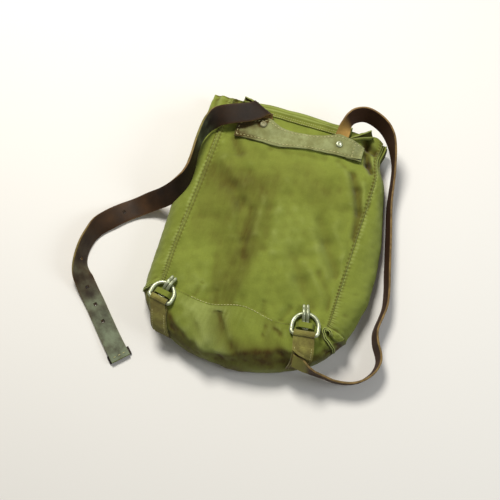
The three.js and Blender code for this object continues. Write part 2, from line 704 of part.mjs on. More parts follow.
const rivets = Object.entries(RIVET_PLACES).map(([side, { x, y }]) => {
  const STEP = 4;
  const slopeX = (draped(x + STEP, y) - draped(x - STEP, y)) / (2 * STEP);
  const slopeY = (draped(x, y + STEP) - draped(x, y - STEP)) / (2 * STEP);
  const axis = xyz(-slopeX, -slopeY, 1).normalize();
  return { side, point: xyz(x, y, draped(x, y) + YOKE_THICK), axis, radius: RIVET.holeRadius };
});
const yokeBlank = wall(yokeFace(YOKE_THICK), yokeFace(0), steps(24), [0, 0.3, 0.6, 0.84, 1]);
add("yoke", drilled(yokeBlank, rivets), webCloth);

for (const { side, point, axis } of rivets) {
  const { headRadius, headHeight, shankRadius } = RIVET;
  const shankEnd = -(YOKE_THICK + STRAP.thick);
  const dome = steps(3).map((s) => [Math.cos((s * Math.PI) / 2), Math.sin((s * Math.PI) / 2)]);
  const profile = [
    [0, shankEnd],
    [shankRadius, shankEnd],
    [shankRadius, 2 * GAP],
    ...dome.slice(0, -1).map(([across, up]) => [headRadius * across, 2 * GAP + headHeight * up]),
    [0, 2 * GAP + headHeight],
  ].map(([radius, height]) => new THREE.Vector2(radius, height));
  const rivet = add(`rivet_${side}`, new THREE.LatheGeometry(profile, 14), greyMetal);
  rivet.quaternion.setFromUnitVectors(xyz(0, 1, 0), axis);
  rivet.position.copy(point);
}

// The straps, with the rivets' holes and the buckle holes of the left one
const rivetHole = (side) => rivets.filter((rivet) => rivet.side === side);
const rootCount = leftRows.length - LEFT_STRAP_FREE.length;
const punched = STRAP_HOLES.map((row) => {
  const { centre, face } = leftFrames[Math.round((row + rootCount) * STRAP_STEP)];
  return { point: centre, axis: face, radius: STRAP.holeRadius };
});
add("strap_left", drilled(band(leftFrames, STRAP.thick), [...rivetHole("left"), ...punched]), leather);
add("strap_right", drilled(band(rightFrames, STRAP.thick), rivetHole("right")), leather);

// The leather bar under the tip of the left strap
{
  const { length, width, thick, fromTip } = STRAP_STOP;
  const { centre, across, face } = leftFrames[leftFrames.length - 1];
  const sideways = across.clone().normalize();
  const upward = face.clone().multiplyScalar(Math.sign(face.z));
  const lengthwise = upward.clone().cross(sideways);
  const towardsYoke = Math.sign(lengthwise.dot(leftFrames[0].centre.clone().sub(centre)));
  const stop = add("strap_stop", new THREE.BoxGeometry(length, width, thick), leather);
  stop.quaternion.setFromRotationMatrix(new THREE.Matrix4().makeBasis(sideways, lengthwise, upward));
  stop.position.copy(centre).addScaledVector(lengthwise, towardsYoke * fromTip);
  stop.position.addScaledVector(upward, -(STRAP.thick / 2 + GAP + thick / 2));
}

// The seam allowances that stand out of the bottom panel near its corners
const EARS = table(
  ["side", "at", "from", "to", "height", "seat"],
  [
    ["left", 0.1, 0.2, 0.6, 0.45, 0.5],
    ["right", 5.44, 0.03, 0.74, 1, 1.2],
  ],
);
for (const { side, at, from, to, height, seat } of EARS) {
  const along = at / (BOTTOM_END.length - 1);
  const face = (sign) => (u, v) => {
    const drop = lerp(from, to, u);
    const sideways = bottomFace(along + 0.01, drop).sub(bottomFace(along - 0.01, drop)).normalize();
    const down = bottomFace(along, drop + 0.02).sub(bottomFace(along, drop - 0.02));
    const out = down.cross(sideways).normalize();
    const stands = EAR.height * height * Math.sin(Math.PI * (0.12 + 0.8 * u)) ** 0.6;
    const wave = EAR.wave * height * Math.sin(2.5 * Math.PI * u) * v;
    return bottomFace(along, drop)
      .addScaledVector(out, seat + v * stands)
      .addScaledVector(sideways, wave + (sign * EAR.thick) / 2);
  };
  add(`corner_ear_${side}`, wall(face(1), face(-1), steps(12), [0, 0.5, 1]), canvasCloth);
}

export default pack;
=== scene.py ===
import math

import bmesh
import bpy
import numpy as np
from bpy.props import FloatProperty, FloatVectorProperty, PointerProperty
from mathutils import Matrix, Vector
from mathutils.bvhtree import BVHTree


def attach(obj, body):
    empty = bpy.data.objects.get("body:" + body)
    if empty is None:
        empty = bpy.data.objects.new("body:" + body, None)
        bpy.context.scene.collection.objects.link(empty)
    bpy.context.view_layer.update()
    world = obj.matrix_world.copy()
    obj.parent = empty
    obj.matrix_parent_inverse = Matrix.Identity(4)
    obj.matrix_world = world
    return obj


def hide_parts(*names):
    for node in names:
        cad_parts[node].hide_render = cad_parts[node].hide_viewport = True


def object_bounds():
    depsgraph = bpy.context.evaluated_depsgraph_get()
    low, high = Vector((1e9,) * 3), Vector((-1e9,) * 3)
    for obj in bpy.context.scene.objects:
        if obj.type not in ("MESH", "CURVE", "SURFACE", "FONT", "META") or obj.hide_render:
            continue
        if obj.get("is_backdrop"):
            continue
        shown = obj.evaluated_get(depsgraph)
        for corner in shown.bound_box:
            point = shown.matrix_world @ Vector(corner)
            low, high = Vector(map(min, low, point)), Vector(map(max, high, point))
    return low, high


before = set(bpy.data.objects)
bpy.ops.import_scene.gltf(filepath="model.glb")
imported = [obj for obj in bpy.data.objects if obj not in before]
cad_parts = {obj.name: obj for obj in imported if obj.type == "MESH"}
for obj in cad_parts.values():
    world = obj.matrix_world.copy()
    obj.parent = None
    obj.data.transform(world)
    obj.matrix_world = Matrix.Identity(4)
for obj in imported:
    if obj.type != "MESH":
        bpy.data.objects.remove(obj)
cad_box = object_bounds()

bl_info = {
    "name": "Canvas Field Pack",
    "version": (1, 0, 0),
    "blender": (4, 5, 0),
    "location": "View3D > Sidebar > Field Pack",
    "description": "Dresses the packed model of a small canvas field pack with cloth, leather and metal",
    "category": "Object",
}

MM = 0.001  # the tables below are in millimetres

# Sections of the strip round the pack. seam is its edge on the back panel, bulge its furthest point
# outwards and foot its edge on the floor: seam x y z, bulge x y z, foot x y.
LEFT_SIDE = [
    (-104, 146, 29, -130, 149, 15, -121, 146),
    (-105, 88, 37, -133, 89, 14, -124, 89),
    (-106, 0, 43, -135, 0, 14, -126, 0),
    (-109, -80, 46, -134, -82, 14, -125, -81),
    (-108, -133, 45, -131, -143, 14, -123, -139),
]
BOTTOM_END = [
    (-108, -133, 45, -131, -143, 14, -123, -139),
    (-82, -140, 49, -98, -182, 13, -93, -173),
    (-40, -145, 51, -47, -201, 12, -45, -191),
    (0, -136, 52, 2, -206, 12, 2, -196),
    (45, -143, 51, 58, -195, 12, 54, -186),
    (84, -134, 49, 108, -167, 13, 101, -160),
    (108, -127, 45, 134, -133, 14, 126, -130),
]
RIGHT_SIDE = [
    (108, -127, 45, 134, -133, 14, 126, -130),
    (109, -78, 45, 147, -72, 14, 138, -73),
    (111, 0, 43, 144, 0, 14, 135, 0),
    (113, 80, 37, 129, 78, 14, 121, 78),
    (109, 139, 27, 116, 141, 15, 108, 138),
]
MOUTH_EDGE = [
    (-104, 146, 29),
    (-66, 144, 32.5),
    (-22, 143.5, 34),
    (26, 143.5, 34),
    (70, 144, 32),
    (109, 139, 27),
]
# Grooves of the back panel: start x y, run x y, width at half depth, depth. Negative depths are ridges.
PANEL_FOLDS = [
    (-88, 70, 30, -30, 12, 2.5),
    (-30, 74, 60, 6, 14, 2.2),
    (-34, -10, 6, -110, 16, 3),
    (66, -4, 30, -50, 13, 2.4),
    (44, -56, 36, -50, 13, 2.4),
]
PANEL_PLEATS = [
    (85, 136, 5, -8, 4, 6),
    (90, 128, 11, -5, 4.2, 6.5),
    (91, 117, 6, -15, 3.4, 6.5),
    (97, 102, 7, -9, 3.2, 5.5),
    (86, 122, 2, -22, 3, -1.5),
    (99, 116, 4, -12, 3, -1.5),
    (82, 80, 11, -20, 4.5, 2.6),
    (93, 60, 11, -30, 4.2, 4.2),
    (103, 32, 4, -36, 3.6, 2.6),
    (99, 72, 7, -30, 3.2, -1.3),
    (-97, 146, 1, -14, 3, 3),
    (-88, 146, 2, -12, 3, 2.4),
]
PANEL_CREASES = [
    (74, 80, 14, -42, 6, -1.3),
    (60, 4, 14, -28, 8, 1.6),
    (74, -24, 24, -36, 7, 2),
    (80, 4, 20, -38, 7, -1.4),
    (50, -6, 16, -30, 8, -1.3),
    (66, -36, 20, -30, 7, -1.3),
    (40, -52, 18, -30, 8, 1.6),
    (58, -82, 22, -26, 8, 1.8),
    (60, -60, 32, -34, 7, -0.8),
    (78, -66, 24, -36, 6, 1.5),
    (22, -60, 22, -40, 10, -1.1),
    (28, 58, 30, -14, 8, 1.1),
    (14, 26, 44, -8, 9, 0.9),
    (-9, 52, 3, -52, 6, 1),
    (-6, 0, 8, -56, 5.5, 1.1),
    (2, 50, 2, -52, 8, -0.8),
    (5, -2, 8, -54, 7, -0.9),
    (-27, -8, 2, -44, 5, 1.4),
    (-25, -52, 5, -20, 4.5, 1.3),
    (-17, 10, 2, -50, 5, -1),
    (-54, -8, 12, -42, 7, -1.3),
    (-44, 0, 8, -44, 6, 1.3),
    (-98, 36, 36, -20, 8, 1.8),
    (-62, 16, 18, -20, 7, 1.7),
    (-86, 50, 38, -28, 7, -1.4),
    (-44, 42, 24, -22, 8, 1.4),
    (-80, 84, 12, -18, 5, 2.2),
    (-94, 74, 10, -18, 5, -1.1),
    (-30, 84, 70, 6, 5, 1.1),
    (60, 92, 24, -13, 4, 1.1),
    (-88, -36, 34, 6, 6, 0.8),
    (-70, -64, 14, -56, 9, -1),
    (-52, -84, 6, -44, 7, 0.9),
    (-16, -92, 6, -40, 6, -0.9),
    (-62, -138, 4, 16, 3, 0.8),
    (-34, -141, -3, 15, 3, 0.9),
    (26, -136, -3, 14, 3, 1),
    (50, -138, 6, 18, 4, 1.2),
]
# Folds of the bottom: place along BOTTOM_END, share of the way down, reach, width, depth
BOTTOM_FOLDS = [
    (2.55, 0.3, 0.3, 0.16, 6),
    (2.2, 0.34, 0.26, 0.16, -3),
    (4.1, 0.24, 0.26, 0.14, 4),
    (4.45, 0.3, 0.3, 0.15, -2.5),
    (5.55, 0.35, 0.3, 0.12, 5),
]
# Creases of the bottom on its flattened cloth: start, run, width, depth, as for the panel
BOTTOM_CREASES = [
    (86, 1, 9, 8, 4, 2.4),
    (95, 9, 8, 10, 5.5, 3.2),
    (103, 18, 17, 13, 6, 2.4),
    (66, 4, 14, 5, 7, -1.6),
    (80, 9, 14, 14, 6, -2.4),
    (94, 23, 13, 17, 6, -2.2),
    (127, 3, 16, 14, 6, -1.8),
    (149, 1, -2, 10, 2.4, 1.8),
    (154, 1, -5, 7, 3, -1.5),
    (156, 1, 8, 6, 3.2, 2.6),
    (120, 28, 28, -11, 6, 1.6),
    (58, 24, 30, 12, 8, -2),
    (106, 42, 25, -15, 8, -2.4),
    (131, 26, 39, -6, 7, -2),
    (112, 54, 50, -10, 10, 2),
    (48, 14, 8, 26, 5, 1.3),
    (206, 10, 4, 40, 4, 2),
]
# Where the painted shade of the bottom's downward-facing end begins, on the same flattened cloth: place along,
# way down
BOTTOM_SHADE_LINE = (
    (0, 14), (31, 15), (45, 19), (58, 29), (70, 34), (88, 41), (106, 46), (120, 37),
    (131, 27), (143, 23), (155, 22), (170, 19), (178, 24), (191, 37), (210, 38), (240, 44),
)
# Edge of the right gusset's hem, which laps over the bottom, on the same flattened cloth
HEM_SIDE = ((0, 230), (16.7, 222.4), (28, 222.8), (36.9, 225))
HEM_END = ((225, 36.9), (231, 40.7), (240, 44))
# Stains on the back panel, and painted shade along its fold valleys and pleats: start x y, run x y, width,
# strength
PANEL_STAINS_AND_FOLD_SHADE = [
    (-28, -6, 3, -38, 6, 0.36),
    (-25, -44, 4, -24, 6, 0.52),
    (-26, -30, 1, -10, 3.5, 0.4),
    (-21, -67, 3, -5, 4.4, 0.95),
    (-27, -84, 0, -50, 12, 0.26),
    (-98, 30, 34, -15, 11, 0.4),
    (-66, 15, 20, -22, 10, 0.38),
    (-46, 24, 28, -8, 9, 0.34),
    (-9, -58, -5, -52, 7, 0.26),
    (-9, 46, 3, -46, 6, 0.1),
    (-6, -6, 7, -48, 5, 0.16),
    (-80, 84, 14, -20, 6, 0.5),
    (-70, 46, 130, -6, 26, 0.2),
    (-60, 74, 80, 2, 12, 0.1),
    (20, 60, 28, -18, 13, 0.16),
    (84, 78, 10, -18, 5, 0.3),
    (94, 58, 10, -28, 4.5, 0.65),
    (103, 30, 4, -36, 4, 0.55),
    (72, -20, 26, -40, 9, 0.16),
    (44, -58, 34, -48, 9, 0.12),
    (80, -68, 22, -34, 7, 0.14),
    (85, 135, 6, -8, 4, 0.9),
    (90, 128, 10, -5, 4, 1.2),
    (91, 116, 6, -14, 3.4, 1.2),
    (97, 102, 7, -9, 3.4, 1),
    (-97, 146, 1, -12, 3, 0.6),
]
# The panel's darker middle: y and x of its right edge, which is a fold, and x and y of its lower edge
DULL_EDGE = ((-140, -12), (-75, -7), (-55, 3), (0, -5), (60, -6))
DULL_FOOT = ((-104, -66), (-56, -88), (-40, -165), (10, -165))
# Stains, and painted shade in the fold valleys, on the bottom's flattened cloth
BOTTOM_STAINS_AND_FOLD_SHADE = [
    (91, 4, 12, 13, 8, 0.2),
    (103, 18, 18, 14, 10, 0.28),
    (122, 29, 40, -8, 7, 0.42),
    (150, 2, 2, 10, 4, 0.3),
    (157, 2, 8, 5, 3, 0.4),
]

# Plan of the yoke, from its left end: x, y of its lower edge, y of its upper edge
YOKE_PLAN = [
    (-83, 88, 109),
    (-72, 88, 113.5),
    (-62, 88.3, 117),
    (-45, 88, 123),
    (-34, 87.8, 119.5),
    (-24, 88.2, 116.3),
    (-6, 91.5, 116),
    (13, 95, 118),
    (28, 97, 121.5),
    (41, 98.2, 125),
    (50, 98.8, 129),
    (65, 99.6, 127),
    (76, 100.3, 125.6),
    (87, 101.8, 123.5),
]
RIVETS = {"left": (-50, 113, 110), "right": (54, 114, 90)}  # x, y, heading of the strap's root

# The straps after the yoke: x y z of the middle, compass direction across, lean of that direction
LEFT_STRAP = [
    (-55, 129, 42.8, 6, 0),
    (-56.6, 132.6, 45.2, -12, 0),
    (-57, 133.8, 48.6, -24, 0),
    (-59, 131.6, 51.8, -35, 0),
    (-65, 125.2, 53.2, -50, -3),
    (-75.5, 119.2, 53.6, -64, -6),
    (-95.5, 110.8, 53.4, -70, -14),
    (-109, 103.6, 52.4, -60, -34),
    (-117.5, 91.5, 51.5, -38, -62),
    (-122, 75.5, 51, -12, -79),
    (-123, 57, 51, 2, -83),
    (-121.8, 39.5, 51.5, 2, -81),
    (-120.8, 22.5, 51, -6, -75),
    (-122.8, 6, 49, -24, -62),
    (-130.5, -7, 41.5, -42, -44),
    (-145, -16.5, 27, -52, -28),
    (-162, -23, 12.5, -54, -12),
    (-178.5, -33, 3.8, -50, 0),
    (-193.5, -45, 3.2, -44, -5),
    (-206.5, -59, 6.2, -38, -20),
    (-217, -74, 10.4, -26, -44),
    (-222.5, -89, 12.5, -14, -62),
    (-225.3, -103, 12.9, -4, -66),
    (-225.5, -117, 12.9, 5, -66),
    (-223, -130, 12.2, 15, -58),
    (-218, -141, 9.8, 28, -40),
    (-211, -150, 5.8, 38, -18),
    (-200.5, -161.5, 2.6, 43, -4),
    (-188.5, -173.5, 1.6, 45, 0),
    (-175, -188, 1.6, 45, 0),
    (-161, -203, 2.2, 45, 0),
    (-147, -217.5, 3.6, 45, 0),
    (-131, -233, 4.6, 45, 0),
]
RIGHT_STRAP = [
    (54.4, 132, 44.4, 0, -12),
    (55.6, 142.5, 49.5, -8, -52),
    (57.9, 151, 50.8, -22, -65),
    (64.3, 159.4, 50.5, -50, -69),
    (76.5, 165, 49, -85, -70),
    (91.3, 163.2, 46.5, -108, -71),
    (106, 156.2, 43, -128, -72),
    (117, 145.5, 38, -142, -76),
    (124.5, 132.5, 32, -152, -83),
    (129.8, 118.8, 25.5, -160, -88),
    (133.5, 103, 19.4, -170, -87),
    (136, 87, 15, -174, -85),
    (140, 61, 13.4, -171, -84),
    (151, 14, 13.4, -168, -82),
    (160, -26, 13.4, -171, -82),
    (165.4, -48, 13.4, -168, -82),
    (169, -70, 13.4, -174, -82),
    (168, -86, 13.4, -187, -82),
    (166.2, -98, 13.4, -186, -82),
    (166, -109, 13.4, -171, -82),
    (170, -122, 13.4, -157, -82),
    (177, -134.5, 13.4, -157, -82),
    (179.8, -145, 13.4, -180, -82),
    (177, -158, 13.4, -205, -82),
    (168, -170.5, 13.4, -227, -82),
    (154, -179.6, 13.4, -249, -82),
    (134, -183.6, 14.4, -260, -83),
    (117, -183, 18.6, -264, -84),
    (107, -183.6, 25.3, -269, -86),
    (98.6, -183.5, 33.2, -270, -95),
    (87, -181.4, 41, -268, -124),
    (76.5, -180, 45, -265, -132),
]
STRAP_HOLES = [18, 23.6, 26.6, 28.1, 29.4]  # along LEFT_STRAP

# The rings: bar x y z, turn of the ring, turn of the hook, end of the tab x y z, turn of that end
CORNERS = {
    "left": ((-102, -156.5, 46), -11, -18, (-91, -189, 22), -10),
    "right": ((80.5, -147, 48), 8, 14, (83, -182.5, 25), 16),
}
# Flap from its sewn edge round the mouth to its free edge: y, share of the panel's height
FLAP_PROFILE = [
    (131, 1),
    (136, 1),
    (141, 1),
    (145.5, 0.97),
    (149.5, 0.85),
    (151.8, 0.65),
    (152.5, 0.42),
    (151.5, 0.2),
    (148.5, 0.05),
    (144, 0),
    (138, 0),
    (110, 0),
    (60, 0),
    (15, 0),
    (-24, 0),
]
FLAP_SIDES = (-74, 64)
# Seam allowances at the bottom corners: height, and their line as place along BOTTOM_END and way down
CORNER_SEAMS = {
    "left": (4, [(0.1, 0.2), (0.1, 0.33), (0.1, 0.46), (0.1, 0.6)]),
    "right": (5.5, [
        (5.6, 0.17), (5.665, 0.11), (5.66, 0.06), (5.58, 0.03), (5.44, 0.06),
        (5.35, 0.15), (5.36, 0.26), (5.39, 0.38), (5.42, 0.55), (5.43, 0.69),
    ]),
}

GAP = 0.3  # kept between neighbouring pieces
SIDE_ROUND, BOTTOM_ROUND = 1.12, 0.72  # exponents of the strip's rounded sections: lower is boxier
BULGE_DROP = 0.72  # share of the way from seam to foot at which a section is widest
PANEL_CROWN = 6  # how far the middle of the back panel stands above its seams
PANEL_LENGTH = 285  # along the side seams
PINCH_AT, PINCH_REACH = 111, 13  # y of the right side's pinch below the mouth, and how far it reaches
PINCH = (4.5, 0, 0, 9, 0, 0, 7, 0)  # what it takes from that side's sections
FLAP_SEAM = (137, 134)  # y of the panel's rows that carry the flap's sewn edge
STRIP_INSET, STRIP_REACH = 0.004, 0.992  # where a piece of the strip starts, and how much of it is filled
CLOTH_STEP, CLOTH_DROP = 40, 95  # the bottom's flattened cloth: section to section, seam to foot
CLOTH_WIDTH = CLOTH_STEP * (len(BOTTOM_END) - 1)
STRAP_STEPS = 8  # points of a strap from one of its rows to the next
ROOT_STATIONS = (-9, 0, 9)  # rows of a strap under the yoke, from its rivet
STOP_SIZE, STOP_FROM_TIP = (30, 11, 2.2), 6  # the bar at the left strap's tip
HEM_THICK = 1.1  # of rolled cloth, and of each layer of the corner seams
ABOVE_ALL = 200  # height from which the ground is searched
WAVES = 9  # summed in each rumple
EDGE_ANGLE = math.radians(50)  # sharper edges are rounded
CANVAS_PITCH = 0.0009  # metres from thread to thread
SACK = ("canvas_back_panel", "canvas_bottom", "canvas_gusset_left", "canvas_gusset_right")
RINGS = {"left": (14.6, 9.2, 3.6), "right": (16.5, 10.5, 4)}  # half width, straight legs, corner radius
TAB_WIDTHS = {"left": 21.4, "right": 26.4}
TAB_SHIFTS = {"left": 2.6, "right": 0}  # how far the tabs hang beside the middles of their rings
TAB_ENDS = {"left": (0.9, 0), "right": (0.49, 0.12)}  # where the folded web ends on its tab, and its slant
HOOK_HALF_SPACING = 2.35
BAND_HALF, BAND_WIDTH = 11.5, 7.0  # half length and width of the bands that hold the hooks
# The camera: degrees above the floor and of turn, then metres
CAMERA_RISE, CAMERA_TURN, CAMERA_DISTANCE = 70.98, 17.24, 1.3123
CAMERA_TARGET = (-0.0192, -0.0450, 0)
SENSOR_WIDTH = 36


def millimetres(name, value, words):
    return FloatProperty(name=name, description=words, default=value * MM, unit="LENGTH", precision=5)


def colour(name, value, words):
    return FloatVectorProperty(
        name=name, description=words, default=value, subtype="COLOR", size=3, min=0, max=1
    )


class PackSizes(bpy.types.PropertyGroup):
    """Thicknesses and stitch sizes of the pack"""

    canvas: millimetres("Canvas", 1.5, "Thickness of the canvas walls")
    web: millimetres("Web", 1.8, "Thickness of the tabs and hook bands")
    yoke: millimetres("Yoke", 2.4, "Thickness of the yoke")
    leather: millimetres("Leather", 2.8, "Thickness of the straps")
    strap_width: millimetres("Strap width", 26, "Width of the straps at the yoke")
    strap_tip: millimetres("Strap tip", 25, "Width of the straps at their ends")
    hole: millimetres("Strap hole", 2, "Radius of the buckle holes")
    ring_wire: millimetres("Ring wire", 2.5, "Radius of the rings' wire")
    hook_wire: millimetres("Hook wire", 2.1, "Radius of the hooks' wire")
    stitch: millimetres("Stitch", 2.3, "Length of one stitch")
    thread: millimetres("Thread", 0.62, "Thickness of the sewing thread")
    pucker: millimetres("Pucker", 5.2, "Distance between the puckers of the lapped seams")
    rivet: millimetres("Rivet", 4.6, "Radius of the rivets' heads")


class PackColours(bpy.types.PropertyGroup):
    """Colours of the pack's materials"""

    canvas_light: colour("Canvas, light", (0.215, 0.256, 0.038), "Canvas where it is bleached")
    canvas_dark: colour("Canvas, dark", (0.158, 0.188, 0.024), "Canvas where it keeps its dye")
    # lighter colour for worn places, also used as painted highlight on ridges and rims
    canvas_worn_and_highlight: colour("Canvas, worn", (0.300, 0.345, 0.100), "Canvas on worn ridges")
    # dark colour for stains, also used as painted shade
    canvas_soil_and_shade: colour("Canvas, soiled", (0.065, 0.041, 0.004), "Canvas where it is stained")
    yoke_light: colour("Yoke, light", (0.318, 0.345, 0.152), "Faded web of the yoke")
    yoke_dark: colour("Yoke, dark", (0.212, 0.218, 0.078), "Soiled web of the yoke")
    tab_light: colour("Tab, light", (0.255, 0.240, 0.056), "Faded web of the tabs")
    tab_dark: colour("Tab, dark", (0.150, 0.125, 0.030), "Soiled web of the tabs")
    thread: colour("Thread", (0.620, 0.580, 0.300), "Sewing thread")
    thread_dark: colour("Thread, side seams", (0.200, 0.170, 0.065), "Sewing thread of the side seams")
    grain: colour("Leather grain", (0.0105, 0.0058, 0.0034), "Grain side of the straps")
    grain_worn: colour("Leather, worn", (0.130, 0.060, 0.020), "Grain side where it is rubbed")
    # a dull film with painted sheen near the free end
    bloom: colour("Leather bloom", (0.205, 0.250, 0.160), "Dull film near the free end")
    flesh: colour("Leather flesh", (0.430, 0.255, 0.065), "Flesh side of the straps")
    # painted shade of the flesh side
    flesh_shaded: colour("Leather flesh, dark", (0.034, 0.010, 0.004), "Darkened flesh side")
    edge: colour("Leather edge", (0.260, 0.160, 0.055), "Cut edges of the straps")
    metal: colour("Metal", (0.520, 0.560, 0.385), "Rings, hooks and rivets")
    metal_dull: colour("Metal, dull", (0.260, 0.280, 0.180), "Tarnish on the metal")
    brass: colour("Metal, browned", (0.150, 0.120, 0.045), "Browned rivet under the left strap")


class StageSettings(bpy.types.PropertyGroup):
    """Floor, light and camera"""

    floor: colour("Floor", (0.80, 0.785, 0.765), "Plain floor")
    key: FloatProperty(name="Key light", description="Power of the main light", default=35, unit="POWER")
    fill: FloatProperty(name="Fill light", description="Power of the fill light", default=9, unit="POWER")
    sky: FloatProperty(name="Sky", description="Strength of the even light", default=0.2, min=0)
    lens: FloatProperty(name="Lens", description="Focal length", default=72, unit="CAMERA")


class FieldPack(bpy.types.PropertyGroup):
    """All settings of the pack"""

    sizes: PointerProperty(name="Sizes", description="Thicknesses and stitch sizes", type=PackSizes)
    colours: PointerProperty(name="Colours", description="Colours of the materials", type=PackColours)
    stage: PointerProperty(name="Stage", description="Floor, light and camera", type=StageSettings)


def settings():
    return bpy.context.scene.field_pack


def size(name):
    """A size in millimetres"""
    return getattr(settings().sizes, name) / MM


# Curves and small shapes on arrays


def unit(vectors):
    return vectors / np.linalg.norm(vectors, axis=-1, keepdims=True)


def smooth(value):
    value = np.clip(value, 0, 1)
    return value * value * (3 - 2 * value)


def hump(distance):
    return np.exp2(-np.square(distance))


def mix(a, b, share):
    return a + (b - a) * share


def compass(angle, lean=0.0):
    angle, lean = np.radians(angle), np.radians(lean)
    flat = np.cos(lean)
    return np.stack(np.broadcast_arrays(np.cos(angle) * flat, np.sin(angle) * flat, np.sin(lean)), axis=-1)


def between(rows, at):
    """Rows of a table at fractional places, on a Catmull-Rom curve"""
    rows, at = np.asarray(rows, float), np.asarray(at, float)
    first = np.clip(np.floor(at).astype(int), 0, len(rows) - 2)
    f = (at - first)[..., None]
    a, b, c, d = (rows[np.clip(first + k, 0, len(rows) - 1)] for k in (-1, 0, 1, 2))
    return b + 0.5 * f * (c - a + f * (2 * a - 5 * b + 4 * c - d + f * (3 * (b - c) + d - a)))


def along(rows, share):
    return between(rows, np.asarray(share) * (len(rows) - 1))


def grid(across, down):
    """Places from 0 to 1 both ways; each way is a number of places or the places themselves"""
    ways = [np.linspace(0, 1, way) if isinstance(way, int) else way for way in (across, down)]
    return np.meshgrid(*ways, indexing="ij")


def on_line(table, at):
    """Value of a line through the points of a table"""
    return np.interp(at, *np.transpose(table))


def rumple(x, y, length, seed):
    """Smooth unevenness of about one unit, with bumps of the given length"""
    dice = np.random.default_rng(seed)
    total = np.zeros(np.broadcast(x, y).shape)
    for _ in range(WAVES):
        turn, stretch, phase = dice.uniform(0, 2 * math.pi), dice.uniform(0.6, 1.7), dice.uniform(0, 7)
        wave = 2 * math.pi * stretch / length
        total = total + np.sin(wave * (x * math.cos(turn) + y * math.sin(turn)) + phase)
    return total / math.sqrt(WAVES)


def grooves(table, x, y):
    """Sum of straight dents at points of the plan"""
    total = np.zeros(np.broadcast(x, y).shape)
    for start_x, start_y, run_x, run_y, width, depth in table:
        way = ((x - start_x) * run_x + (y - start_y) * run_y) / (run_x**2 + run_y**2)
        way = np.clip(way, 0, 1)
        away = np.hypot(x - start_x - way * run_x, y - start_y - way * run_y)
        total = total + depth * hump(away / width)
    return total


def normals(points):
    """Unit normals of a grid of points"""
    return unit(np.cross(np.gradient(points, axis=0), np.gradient(points, axis=1)))


def lengths(points, axis):
    """Distance along a grid of points from its first row"""
    steps = np.linalg.norm(np.diff(points, axis=axis), axis=-1)
    start = np.zeros_like(np.take(steps, [0], axis=axis))
    return np.concatenate([start, np.cumsum(steps, axis=axis)], axis=axis)


# Surfaces of the sack


def edge_rows(rows, share):
    """Sections of the strip; the right side is pinched below the mouth"""
    row = along(rows, share)
    if rows is RIGHT_SIDE:
        pinch = hump((row[..., 1:2] - PINCH_AT) / PINCH_REACH)
        row = row - pinch * np.array(PINCH)
    return row


def strip_points(rows, roundness, u, drop, press):
    """Points of the strip of gussets and bottom; press moves them inwards"""
    row = edge_rows(rows, STRIP_INSET + u * STRIP_REACH)
    seam, bulge, foot = row[..., 0:2], row[..., 3:5], row[..., 6:8]
    seam_z, bulge_z = row[..., 2], row[..., 5]
    seam = seam + 0.06 * unit(bulge - seam)
    upper = drop < BULGE_DROP
    turn = math.pi / 2 * np.clip(np.where(upper, drop / BULGE_DROP, (1 - drop) / (1 - BULGE_DROP)), 0, 1)
    power = np.where(upper, roundness, 1.0)
    end = np.where(upper[..., None], seam, foot)
    end_z = np.where(upper, seam_z, 0)
    reach, height = np.sin(turn) ** power, np.clip(np.cos(turn), 0, 1) ** power
    flat = end + (bulge - end) * reach[..., None]
    points = np.concatenate([flat, (bulge_z + (end_z - bulge_z) * height)[..., None]], axis=-1)
    lean = np.full(u.shape + (1,), -25.0)
    inward = unit(np.concatenate([row[..., 0:2] - bulge, lean], axis=-1))
    return points + inward * press[..., None]


def ruffle(from_mouth, drop):
    fade = smooth(1 - from_mouth / 0.9) * smooth(np.minimum(drop, 1 - drop) / 0.2)
    return 1.7 * np.sin(6 * math.pi * drop + 0.5) * fade


def bottom_dent(at, drop):
    total = np.zeros(np.broadcast(at, drop).shape)
    for fold_at, fold_drop, reach, width, depth in BOTTOM_FOLDS:
        sideways = hump((at - fold_at - 0.5 * (drop - fold_drop)) / width)
        total = total + depth * sideways * hump((drop - fold_drop) / reach)
    return total * smooth(drop / 0.15) * smooth((1 - drop) / 0.4)


def lapped_hem(x, y):
    """How far a place lies inside the hem that laps over the bottom's corner"""
    return np.minimum(x - on_line(HEM_SIDE, y), on_line(HEM_END, x) - y)


def bottom_points(u, drop):
    at = (STRIP_INSET + u * STRIP_REACH) * (len(BOTTOM_END) - 1)
    x, y = at * CLOTH_STEP, drop * CLOTH_DROP
    quiet = smooth(drop / 0.05) * smooth((1 - drop) / 0.3)
    press = bottom_dent(at, drop) + quiet * grooves(BOTTOM_CREASES, x, y)
    press = press + quiet * (0.8 * rumple(x, y, 46, 3) + 0.3 * rumple(x, y, 17, 4))
    press = press + 0.14 * rumple(x, y * 0.3, 8, 7) * hump(drop / 0.1) * smooth(drop / 0.02)
    hem = lapped_hem(x, y)
    lap = 1.4 * smooth(hem / 1.2) + 0.9 * hump((hem - 1.6) / 1.4) - 0.8 * hump((hem + 1) / 1.2)
    press = press - lap * smooth((CLOTH_WIDTH - 0.5 - x) / 5) * smooth(y / 3)
    return strip_points(BOTTOM_END, BOTTOM_ROUND, u, drop, press)


def gusset_points(side, u, drop):
    rows, sign, from_mouth = (LEFT_SIDE, 1, u * 4) if side == "left" else (RIGHT_SIDE, -1, 4 - u * 4)
    quiet = smooth(drop / 0.06) * smooth((1 - drop) / 0.3)
    uneven = 0.8 * rumple(u * 290, drop * 60, 60, 5) + 0.25 * rumple(u * 290, drop * 60, 19, 6)
    press = sign * ruffle(from_mouth, drop) + quiet * uneven
    press = press + 0.35 * np.sin(u * 390) * hump(drop / 0.07) * smooth(drop / 0.02)
    return strip_points(rows, SIDE_ROUND, u, drop, press)


def puckers(u, v):
    """Waves of the lapped side seams, from -1 to 1"""
    run = v * PANEL_LENGTH
    return np.sin(2 * math.pi * run / size("pucker") + 1.2 * rumple(run, u * 0, 60, 8))


